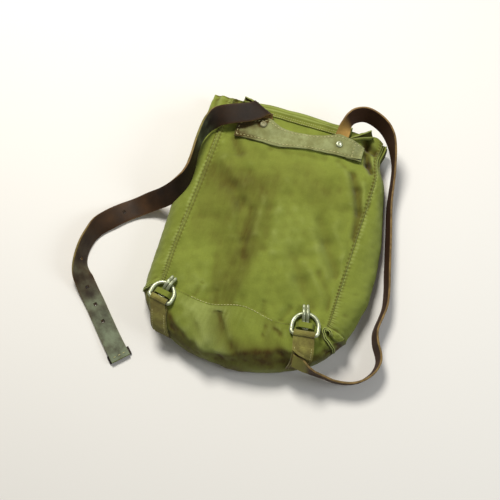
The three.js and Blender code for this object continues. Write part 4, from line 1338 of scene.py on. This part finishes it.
class FIELDPACK_OT_ears(bpy.types.Operator):
    """Makes the seam allowances that stand out near the bottom corners"""

    bl_idname = "field_pack.ears"
    bl_label = "Corner seam allowances"
    bl_options = {"REGISTER", "UNDO"}

    def execute(self, context):
        for side, (height, line) in CORNER_SEAMS.items():
            share, v = grid(90, 9)
            at = along(line, share)
            u, drop = (at[..., 0] / (len(BOTTOM_END) - 1) - STRIP_INSET) / STRIP_REACH, at[..., 1]
            base = bottom_points(u, drop)
            across = bottom_points(u + 0.01, drop) - bottom_points(u - 0.01, drop)
            out = unit(np.cross(bottom_points(u, drop + 0.02) - bottom_points(u, drop - 0.02), across))
            aside = unit(np.cross(out, np.gradient(base, axis=0)))
            stands = height * np.clip(np.sin(math.pi * (0.1 + 0.84 * share)), 0, 1) ** 0.5
            # darker towards the root, lighter along the top edge
            marks = {"soil": 0.9 * (1 - v), "wear": smooth((v - 0.7) / 0.3)}
            bm = bmesh.new()
            for layer in (-1, 1):
                shift = layer * (0.75 + 0.35 * v) + 0.5 * rumple(share * 60, v * 0, 14, 51) * v
                points = base + out * (v * (stands + layer * 0.4) - 0.8)[..., None] + aside * shift[..., None]
                mesh = mesh_from(sheet_mesh(points, marks), "layer")
                bm.from_mesh(mesh)
                bpy.data.meshes.remove(mesh)
            piece = object_from(bm, f"corner_seam_{side}", ["field_canvas"], f"corner_ear_{side}")
            thicken(piece, HEM_THICK, 0, 0.3)
        return {"FINISHED"}


def strap_rows(ground, side, rows):
    """A strap's rows with the three that lie under the yoke before them"""
    x, y, heading = RIVETS[side]
    across = compass(heading - 90)
    root = []
    for ahead in ROOT_STATIONS:
        middle = np.array([x, y, 0]) + compass(heading) * ahead
        z = ground.highest(middle, across, size("strap_width") / 2) + 2.5 * GAP + size("leather") / 2
        root.append((middle[0], middle[1], z, heading - 90, 0))
    return np.array(root + list(rows), float)


class FIELDPACK_OT_straps(bpy.types.Operator):
    """Makes the two leather shoulder straps and the stop at the left one's tip"""

    bl_idname = "field_pack.straps"
    bl_label = "Straps"
    bl_options = {"REGISTER", "UNDO"}

    def execute(self, context):
        ground = Ground(*SACK)
        for side, table in (("left", LEFT_STRAP), ("right", RIGHT_STRAP)):
            rows = strap_rows(ground, side, table)
            share = np.linspace(0, 1, (len(rows) - 1) * STRAP_STEPS + 1)
            row = along(rows, share)
            centres = row[:, :3]
            half, face = band_frames(centres, compass(row[:, 3], row[:, 4]), self.width(side, share))
            points = band_points(centres, half, face, 10, 0.35)
            bm = sheet_mesh(points, self.marks(side, share, points, centres))
            face_towards(bm, along_face(centres, face))
            leather = ["leather_grain", "leather_flesh", "leather_edge"]
            piece = object_from(bm, f"leather_strap_{side}", leather, f"strap_{side}")
            thicken(piece, size("leather"), 0, finishes=(1, 2))
            if side == "left":
                self.punch(piece, len(rows) - len(table), centres, face)
                self.stop(centres, half, face)
            round_edges(piece, 0.6, harden=False)
            settle(piece)
        return {"FINISHED"}

    def width(self, side, share):
        """The right strap is narrower at its root and at its sewn end"""
        width = mix(size("strap_width"), size("strap_tip"), smooth((share - 0.6) / 0.4))
        if side == "right":
            width = width * mix(0.68, 1, smooth((share - 0.091) / 0.091))
            width = width - 8 * smooth((share - 0.881) / 0.091)
        return width

    def marks(self, side, share, points, centres):
        """Rubbed grain, the sewn end, a dull film with painted sheen, and the flesh side's light brown giving
        way to painted shade, on the points of a strap
        """
        run = lengths(centres[:, None], 0)[:, 0]
        edge = np.abs(np.linspace(-1, 1, points.shape[1]))[None, :]
        uneven = rumple(run[:, None], edge * 20, 34, 31)
        if side == "left":
            rubbed = 0.05 + 0.16 * smooth((share - 0.42) / 0.2)
            # towards the free end a dull film with painted sheen
            bloom = 0.36 * smooth((share - 0.6) / 0.16) + 0.66 * smooth((share - 0.8) / 0.18)
            # painted highlight where the strap stands on edge after the bend
            bloom = bloom + 0.6 * hump((share - 0.35) / 0.045)
            sewn, tan = 0 * share, 0.5 + 0 * share
        else:
            rubbed, bloom = 0.4 + 0 * share, 0.15 * share
            sewn = smooth((share - 0.932) / 0.027)
            # light brown at the root, then painted shade on the flesh side along the arch, partly lighter again
            # at the sewn end
            tan = 1 - 0.97 * smooth((share - 0.096) / 0.055) + 0.5 * smooth((share - 0.872) / 0.091)
        blank = np.zeros(points.shape[:2])
        rub = 0.2 * smooth((edge - 0.75) / 0.25) + rubbed[:, None] * (1 + 0.35 * uneven)
        return {
            "rub": np.clip(rub, 0, 1),
            "sewn": blank + sewn[:, None],
            "bloom": (blank + bloom[:, None]) * (0.8 + 0.2 * uneven),
            "tan": blank + tan[:, None],
        }

    def punch(self, piece, first, centres, face):
        """Cuts the buckle holes"""
        bm = bmesh.new()
        hole = {"cap_ends": True, "segments": 20, "radius1": size("hole"), "radius2": size("hole"), "depth": 9}
        for row in STRAP_HOLES:
            k = round((row + first) * STRAP_STEPS)
            axis = face[k]
            side = unit(np.cross(axis, (0.2, 0.9, 0.1)))
            bmesh.ops.create_cone(bm, matrix=frame_matrix(centres[k], side, np.cross(axis, side), axis), **hole)
        bmesh.ops.recalc_face_normals(bm, faces=bm.faces[:])
        mesh = mesh_from(bm, "punch", ["leather_edge"] * 3)
        for polygon in mesh.polygons:
            polygon.material_index = 2
        cutter = placed("punch", mesh, bpy.context.collection)
        cut = piece.modifiers.new("Holes", "BOOLEAN")
        cut.object, cut.operation, cut.solver = cutter, "DIFFERENCE", "EXACT"
        settle(piece)
        bpy.data.objects.remove(cutter)
        bpy.data.meshes.remove(mesh)

    def stop(self, centres, half, face):
        """The short bar under the tip, and the stitches that hold it"""
        tip, thick = centres[-1], size("leather")
        across, up = unit(half[-1]), face[-1] * np.sign(face[-1][2])
        lengthwise = unit(np.cross(up, across))
        lengthwise = lengthwise * np.sign(np.dot(lengthwise, centres[-9] - tip))
        middle = tip + lengthwise * STOP_FROM_TIP - up * (thick / 2 + GAP + STOP_SIZE[2] / 2)
        bm = bmesh.new()
        matrix = frame_matrix(middle, across, lengthwise, up, STOP_SIZE)
        bmesh.ops.create_cube(bm, size=1, matrix=matrix)
        bmesh.ops.recalc_face_normals(bm, faces=bm.faces[:])
        bmesh.ops.subdivide_edges(bm, edges=bm.edges[:], cuts=3, use_grid_fill=True)
        outline = [edge for edge in bm.edges if edge.calc_face_angle(0) > 1]
        rounding = {"offset": 0.5 * MM, "segments": 2, "profile": 0.5, "affect": "EDGES", "material": -1}
        bmesh.ops.bevel(bm, geom=outline, **rounding)
        soften(bm)
        object_from(bm, "leather_strap_stop", ["leather_grain"], "strap_stop")
        places = np.linspace(-8, 8, 20)
        line = [tip + lengthwise * 5 + across * k + up * (thick / 2 + 0.4 - 0.002 * k * k) for k in places]
        stitches("stitches_strap_stop", [(line, [up] * len(line), 1.8, 1.5)])


class FIELDPACK_OT_yoke(bpy.types.Operator):
    """Makes the web yoke over the roots of the straps, with its stitching and rivets"""

    bl_idname = "field_pack.yoke"
    bl_label = "Yoke"
    bl_options = {"REGISTER", "UNDO"}

    def execute(self, context):
        under = Ground("canvas_back_panel", "canvas_flap")
        roots = [(strap_rows(under, side, [])[1], compass(heading)) for side, (_, _, heading) in RIVETS.items()]
        u, v = grid(120, 26)
        plan = along(YOKE_PLAN, u)
        x, y = plan[..., 0], mix(plan[..., 1], plan[..., 2], v)
        z = np.array([[self.draped(under, roots, a, b) for a, b in zip(*pair)] for pair in zip(x, y)])
        for _ in range(3):
            padded = np.pad(z, 1, mode="edge")
            around = (padded[2:, 1:-1] + padded[:-2, 1:-1] + padded[1:-1, 2:] + padded[1:-1, :-2]) / 4
            z = np.maximum(z, around)
        thick = size("yoke")
        curl = 1.6 * smooth((u - 0.9) / 0.1) * smooth((0.25 - v) / 0.25)
        z = z + thick + 0.25 * rumple(x, y, 24, 41) + curl
        points = np.stack([x, y, z], axis=-1)
        bm = sheet_mesh(points, {"soil": self.soil(u, v, x, y)})
        face_towards(bm, upwards)
        yoke = object_from(bm, "web_yoke", ["yoke_webbing"], "yoke")
        thicken(yoke, thick, -1, 0.5)
        settle(yoke)
        self.sew(points)
        self.rivets(points)
        return {"FINISHED"}

    def draped(self, under, roots, x, y):
        """Height of the yoke's lower face, over the panel and the straps' roots"""
        z = max(under.height(x + a, y + b) for a, b in ((0, 0), (3, 0), (-3, 0), (0, 3), (0, -3)))
        for root, ahead in roots:
            away = np.array([x - root[0], y - root[1], 0])
            forward, sideways = away.dot(ahead), abs(away.dot((-ahead[1], ahead[0], 0)))
            over = smooth((34 - sideways) / 22) * smooth((forward + 20) / 12)
            z = max(z, mix(z, root[2] + size("leather") / 2, float(over)))
        return z + 2 * GAP

    def soil(self, u, v, x, y):
        """Painted shadow of the left strap over the left end, strongest at its corner; grime round the rivets;
        painted shade along the stitching; a darker lower edge
        """
        # painted shadow of the left strap over the left end, with a darker lower edge
        soil = 0.6 * smooth((-36 - x) / 40) * smooth(0.7 + 0.3 * rumple(x, y, 16, 42)) + 0.2 * hump(v / 0.08)
        # the strap's painted shadow is strongest at the left corner
        corner = np.minimum(y - 100 - 0.5 * (x + 80), 4)
        soil = soil + 0.7 * hump((corner - 4) / 8) * smooth((-40 - x) / 8)
        for rivet_x, rivet_y, _ in RIVETS.values():
            soil = soil + 0.35 * hump((np.hypot(x - rivet_x, y - rivet_y) - 5) / 2)
        # painted shade along the stitch lines
        sewn = hump((v - 0.12) / 0.05) + hump((v - 0.88) / 0.05)
        sewn = sewn + hump((u - 0.905) / 0.008) + hump((u - 0.03) / 0.008)
        return np.clip(soil + 0.3 * np.clip(sewn, 0, 1), 0, 1)

    def sew(self, points):
        rows = [surface_line(points[3:-3], j=j, lift=0.1) for j in (3, -4)]
        rows += [surface_line(points[:, 3:-3], i=i, lift=0.1) for i in (3, -4, -12)]
        stitches("stitches_yoke", [(*row, 1.45, 1.45) for row in rows])
        ends = points[-18, 0] + (0, 0.6, -0.8), points[-2, 0] + (1, 0.4, -0.2)
        rolled_end("web_yoke_roll", ends, (1.6, 2.6), ((60, 64), (10, 110)), "yoke_webbing")

    def rivets(self, points):
        out, r = normals(points), size("rivet")
        dome = [(r, 0.15), (r, 0.7), (r * 0.9, 1.5), (r * 0.66, 2.1), (r * 0.42, 2.2), (r * 0.3, 1.75)]
        profile = [(2, -4), (2, 0.15), *dome, (0.01, 1.6)]
        turn = {"cent": (0, 0, 0), "axis": (0, 0, 1), "angle": 2 * math.pi, "steps": 32, "use_merge": True}
        for side, metal in (("left", "tarnished_metal"), ("right", "dull_metal")):
            x, y, _ = RIVETS[side]
            away = np.hypot(points[..., 0] - x, points[..., 1] - y)
            cell = np.unravel_index(np.argmin(away), away.shape)
            axis = out[cell] * np.sign(out[cell][2])
            sideways = unit(np.cross(axis, (0, 1, 0.1)))
            matrix = frame_matrix(points[cell], sideways, np.cross(axis, sideways), axis)
            bm = bmesh.new()
            verts = [bm.verts.new((radius, 0, height)) for radius, height in profile]
            edges = [bm.edges.new(pair) for pair in zip(verts, verts[1:])]
            bmesh.ops.spin(bm, geom=verts + edges, **turn)
            bmesh.ops.remove_doubles(bm, verts=bm.verts[:], dist=0.02)
            bmesh.ops.holes_fill(bm, edges=bm.edges[:], sides=40)
            bmesh.ops.recalc_face_normals(bm, faces=bm.faces[:])
            bmesh.ops.transform(bm, matrix=matrix, verts=bm.verts[:])
            soften(bm)
            object_from(bm, f"rivet_head_{side}", [metal], f"rivet_{side}")


class RingPlace:
    """Where one corner's ring, hook and tab go"""

    def __init__(self, ground, bottom, side):
        bar, self.turn, self.hook_turn, end, self.end_turn = CORNERS[side]
        self.ground, self.bottom = ground, bottom
        self.half, self.legs, self.corner = RINGS[side]
        self.web, self.shift = TAB_WIDTHS[side], 0.0
        self.first, self.last = self.nearest(bar), self.nearest(end)
        point = self.tab(0)[0]
        self.along_bar, self.ahead = compass(self.turn), compass(self.turn + 90)
        wire = size("ring_wire")
        bow = point + self.ahead * (self.half + self.legs)
        point[2] = ground.highest(point, self.along_bar, self.web / 2) + size("web") + 3 * GAP + wire
        bow[2] = ground.highest(bow, self.along_bar, 7) + GAP + wire
        self.bar, self.ring_ahead = point, unit(bow - point)
        self.ring_up = unit(np.cross(self.along_bar, self.ring_ahead))
        self.middle = self.bar + self.ring_ahead * self.legs
        self.shift = TAB_SHIFTS[side]

    def nearest(self, target):
        u, drop = np.meshgrid(np.linspace(0, 1, 151), np.linspace(0, BULGE_DROP, 37), indexing="ij")
        away = np.linalg.norm(bottom_points(u, drop) - np.array(target, float), axis=-1)
        cell = np.unravel_index(np.argmin(away), away.shape)
        return np.array([u[cell], drop[cell]])

    def on_bottom(self, share):
        u, drop = mix(self.first, self.last, share)
        return bottom_points(np.array(u), np.array(drop))

    def tab(self, share):
        """Place on the canvas under the tab, and its ways across and out"""
        across = compass(mix(self.turn, self.end_turn, smooth(share)))
        run = self.on_bottom(share + 0.08) - self.on_bottom(share - 0.08)
        down = unit(run - across * run.dot(across))
        out = unit(np.cross(down, across))
        middle = self.on_bottom(share) + across * self.shift
        stands = self.bottom.stands_out(middle, across, self.web / 2, out)
        return middle + out * stands, across, out


class FIELDPACK_OT_corners(bpy.types.Operator):
    """Makes the rings, hooks, hook bands and tabs at the bottom corners"""

    bl_idname = "field_pack.corners"
    bl_label = "Rings, hooks and tabs"
    bl_options = {"REGISTER", "UNDO"}

    def execute(self, context):
        ground, bottom = Ground(*SACK), Ground("canvas_bottom")
        for side in CORNERS:
            place = RingPlace(ground, bottom, side)
            self.ring(side, place)
            self.hook(side, place)
            self.hook_band(side, place)
            self.tab(side, place)
        return {"FINISHED"}

    def ring(self, side, place):
        """A D of round wire: a bar, two corners, two legs and a bow"""
        half, legs, corner = place.half, place.legs, place.corner
        bm = bmesh.new()
        start = Matrix.Translation((-half + corner, 0, 0)) @ QUARTER_TURN
        made = bmesh.ops.create_circle(bm, segments=16, radius=size("ring_wire"), matrix=start)

        def pull(loop, move):
            verts, loop = extrude(bm, loop)
            bmesh.ops.translate(bm, verts=verts, vec=move)
            return loop

        def bend(loop, centre, angle, steps):
            geom = loop + list({vert for edge in loop for vert in edge.verts})
            turn = {"cent": centre, "axis": (0, 0, 1), "angle": math.radians(angle), "steps": steps}
            last = bmesh.ops.spin(bm, geom=geom, **turn)["geom_last"]
            return [item for item in last if isinstance(item, bmesh.types.BMEdge)]

        loop = pull(edges_of(made["verts"]), (2 * (half - corner), 0, 0))
        loop = bend(loop, (half - corner, corner, 0), 90, 8)
        loop = pull(loop, (0, legs - corner, 0))
        loop = bend(loop, (0, legs, 0), 180, 36)
        loop = pull(loop, (0, corner - legs, 0))
        bend(loop, (-half + corner, corner, 0), 90, 8)
        bmesh.ops.remove_doubles(bm, verts=bm.verts[:], dist=0.02)
        bmesh.ops.recalc_face_normals(bm, faces=bm.faces[:])
        matrix = frame_matrix(place.bar, place.along_bar, place.ring_ahead, place.ring_up)
        bmesh.ops.transform(bm, matrix=matrix, verts=bm.verts[:])
        soften(bm)
        object_from(bm, f"ring_{side}", ["dull_metal"], f"d_ring_{side}")

    def hook(self, side, place):
        """A bent wire whose two prongs come up inside the ring and close over its bow"""
        wire = size("hook_wire")
        over = size("ring_wire") + 2 * GAP + wire
        ahead = unit(np.cross(place.ring_up, compass(place.hook_turn)))
        sideways = np.cross(ahead, place.ring_up)
        bow = place.middle + ahead * place.half

        def leg(sign):
            shift = sideways * HOOK_HALF_SPACING * sign

            def polar(angle, radius):
                turned = math.radians(angle)
                point = bow + shift - ahead * math.cos(turned) * radius
                return point + place.ring_up * math.sin(turned) * radius

            def laid(back):
                point = polar(0, back)
                point[2] = place.ground.highest(point, sideways, wire) + 2 * GAP + wire
                return point

            tip = polar(180, over + 6) + place.ring_up * 2.2
            bend = [polar(angle, over + more) for angle, more in ((25, 1.6), (65, 0.8), (110, 0.6), (150, 1.4))]
            return [laid(over + 13), laid(over + 5), *bend, tip]

        points = np.array([*leg(-1)[::-1], *leg(1)])
        bm = bmesh.new()
        ends = np.array([0, 0.004, 0.012, 0.024])
        tube(bm, along(points, np.concatenate([ends, np.linspace(0.04, 0.96, 100), 1 - ends[::-1]])), wire)
        object_from(bm, f"hook_wire_{side}", ["dull_metal"], f"hook_{side}")

    def hook_band(self, side, place):
        """The short web that holds the hook's feet down"""
        centres = []
        for share in np.linspace(-1, 1, 45):
            point = place.middle + place.ring_ahead + place.along_bar * BAND_HALF * share
            over_wires = smooth((BAND_HALF - abs(BAND_HALF * share) - 0.5) / 4)
            rise = (2 * size("hook_wire") + 3 * GAP) * over_wires
            height = place.ground.highest(point, place.ahead, BAND_WIDTH / 2)
            point[2] = height + GAP + size("web") / 2 + 0.4 + rise
            centres.append(point)
        centres = np.array(centres)
        across = np.tile(place.ahead, (len(centres), 1))
        half, face = band_frames(centres, across, np.full(len(centres), BAND_WIDTH))
        points = band_points(centres, half, face, 6)
        blank = np.zeros(points.shape[:2])
        bm = sheet_mesh(points, {"soil": blank + 0.15, "wear": blank + 0.1})
        face_towards(bm, upwards)
        piece = object_from(bm, f"hook_band_{side}", ["field_canvas"], f"hook_loop_{side}")
        thicken(piece, size("web"), 0, 0.4)

    def tab(self, side, place):
        """The web that goes up the bottom, round the bar and back down over itself"""
        thick = size("web")
        clear = 2 * GAP + thick / 2

        def laid(share, distance):
            point, across, out = place.tab(share)
            return point + out * distance, across

        around = size("ring_wire") + 1.5 * GAP + thick / 2
        under = [laid(share, clear) for share in np.linspace(1, 0.14, 14)]
        wrap = []
        for angle in (-90, -50, -10, 30, 65, 100, 135, 165):
            turned = math.radians(angle)
            offset = place.ahead * math.cos(turned) * around + np.array([0, 0, math.sin(turned) * around])
            wrap.append((place.bar + offset, place.along_bar))
        end, slant = TAB_ENDS[side]

        def thread(at):
            """One thread along the web, at a place across it"""
            back = [laid(share, clear + thick + 1.5 * GAP) for share in np.linspace(0.26, end + slant * at, 9)]
            stations = np.array([point + across * at * place.web / 2 for point, across in under + wrap + back])
            return along(stations, np.linspace(0, 1, (len(stations) - 1) * 4 + 1))

        places = np.linspace(-1, 1, 25)
        points = np.stack([thread(at) for at in places], axis=1)
        centres = points[:, 12]
        face = unit(np.cross(np.gradient(centres, axis=0), points[:, -1] - points[:, 0]))
        run, places = np.linspace(0, 1, len(points))[:, None], places[None, :]
        # darker towards the tab's lower end and along its edges
        soil = 0.5 * smooth((0.2 - run) / 0.2) + 0.15 * np.abs(places)
        if side == "right":
            gape = hump((places * place.web / 2 + 3.5) / 4.6)
            lifted = gape * smooth((run - 0.93) / 0.07)
            points = points + (place.tab(end)[2] * 4.2)[None, None] * lifted[..., None]
            # painted shadow in the slit under the lifted end
            soil = soil + 1.3 * gape * hump((run - 0.26) / 0.03)
        bm = sheet_mesh(points, {"soil": soil})
        face_towards(bm, along_face(centres, face))
        piece = object_from(bm, f"web_tab_{side}", ["tab_webbing"], f"tab_{side}")
        thicken(piece, thick, 0, 0.4)
        self.sew_tab(side, place, clear + thick / 2, thick + 1.5 * GAP)

    def sew_tab(self, side, place, height, layer):
        end, slant = TAB_ENDS[side]
        rows = []
        for at in (-0.78, 0.78):
            line, ups = [], []
            for share in np.linspace(0.3, 0.97, 20):
                point, across, out = place.tab(share)
                lift = height + layer * (share < end + slant * at)
                line.append(point + out * lift + across * at * place.web / 2)
                ups.append(out)
            rows.append((line, ups))
        stitches(f"stitches_tab_{side}", rows)


class FIELDPACK_OT_stage(bpy.types.Operator):
    """Lays the floor and sets up the light and the camera"""

    bl_idname = "field_pack.stage"
    bl_label = "Stage"
    bl_options = {"REGISTER", "UNDO"}

    def execute(self, context):
        scene, stage = bpy.context.scene, settings().stage
        scene.view_settings.view_transform = "Standard"
        self.camera(scene, stage)
        bm = bmesh.new()
        bmesh.ops.create_grid(bm, x_segments=4, y_segments=4, size=3)
        floor = placed("floor", mesh_from(bm, "floor"), scene.collection)
        f = Finish("floor")
        cloud = f.noise(6, 4, 0.6)
        tone = f.blend(cloud * 0.06, tuple(stage.floor), (0.7, 0.69, 0.67))
        paint = f.close(tone, 0.85 + 0.05 * cloud, f.bump(cloud, 0.1, 0.05), Specular_IOR_Level=0.2)
        floor.data.materials.append(paint)
        floor.location.z = -0.0002
        floor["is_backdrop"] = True
        self.light("key", (-0.6, 0.8, 1.5), 0.6, stage.key, (1.0, 0.97, 0.89))
        self.light("fill", (1.4, 0.0, 1.0), 0.9, stage.fill, (0.93, 0.98, 1.0))
        world = bpy.data.worlds.new("even light")
        world.use_nodes = True
        even = world.node_tree.nodes["Background"]
        even.inputs["Color"].default_value = (1.0, 0.975, 0.92, 1.0)
        even.inputs["Strength"].default_value = stage.sky
        scene.world = world
        return {"FINISHED"}

    def light(self, name, place, width, power, tint):
        lamp = bpy.data.lights.new(name, "AREA")
        lamp.shape, lamp.size, lamp.energy, lamp.color = "DISK", width, power, tint
        holder = placed(name, lamp, bpy.context.scene.collection)
        holder.location = place
        holder.rotation_euler = (-Vector(place)).to_track_quat("-Z", "Y").to_euler()

    def camera(self, scene, stage):
        rise, turn = math.radians(CAMERA_RISE), math.radians(CAMERA_TURN)
        heading = Vector((-math.sin(turn), math.cos(turn), 0))
        right = Vector((math.cos(turn), math.sin(turn), 0))
        look = heading * math.cos(rise) - Vector((0, 0, 1)) * math.sin(rise)
        up = right.cross(look)
        eye = bpy.data.cameras.new("camera")
        eye.sensor_width, eye.lens = SENSOR_WIDTH, stage.lens
        eye.clip_start, eye.clip_end = 0.05, 20
        holder = placed("camera", eye, scene.collection)
        place = Vector(CAMERA_TARGET) - look * CAMERA_DISTANCE
        rows = [(right[k], up[k], -look[k], place[k]) for k in range(3)]
        holder.matrix_world = Matrix(rows + [(0, 0, 0, 1)])
        scene.camera = holder


class FIELDPACK_PT_panel(bpy.types.Panel):
    """Lists the pack's pieces and settings"""

    bl_idname = "FIELDPACK_PT_panel"
    bl_label = "Field Pack"
    bl_space_type = "VIEW_3D"
    bl_region_type = "UI"
    bl_category = "Field Pack"

    def draw(self, context):
        for operator in OPERATORS:
            self.layout.operator(operator.bl_idname)
        pack = context.scene.field_pack
        for group in (pack.sizes, pack.colours, pack.stage):
            box = self.layout.box()
            for name in group.__annotations__:
                box.prop(group, name)


OPERATORS = (
    FIELDPACK_OT_stage,
    FIELDPACK_OT_sack,
    FIELDPACK_OT_flap,
    FIELDPACK_OT_ears,
    FIELDPACK_OT_straps,
    FIELDPACK_OT_yoke,
    FIELDPACK_OT_corners,
)
CLASSES = (PackSizes, PackColours, StageSettings, FieldPack, *OPERATORS, FIELDPACK_PT_panel)


def register():
    for item in CLASSES:
        bpy.utils.register_class(item)
    bpy.types.Scene.field_pack = PointerProperty(
        name="Field pack", description="All settings of the pack", type=FieldPack
    )


def unregister():
    del bpy.types.Scene.field_pack
    for item in reversed(CLASSES):
        bpy.utils.unregister_class(item)


def main():
    register()
    bpy.ops.field_pack.stage()
    bpy.ops.field_pack.sack()
    bpy.ops.field_pack.flap()
    bpy.ops.field_pack.ears()
    bpy.ops.field_pack.straps()
    bpy.ops.field_pack.yoke()
    bpy.ops.field_pack.corners()
    boxes = {"cad": cad_box, "visual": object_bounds()}
    boxes = {name: [[float(value) for value in corner] for corner in box] for name, box in boxes.items()}


if __name__ == "__main__":
    main()
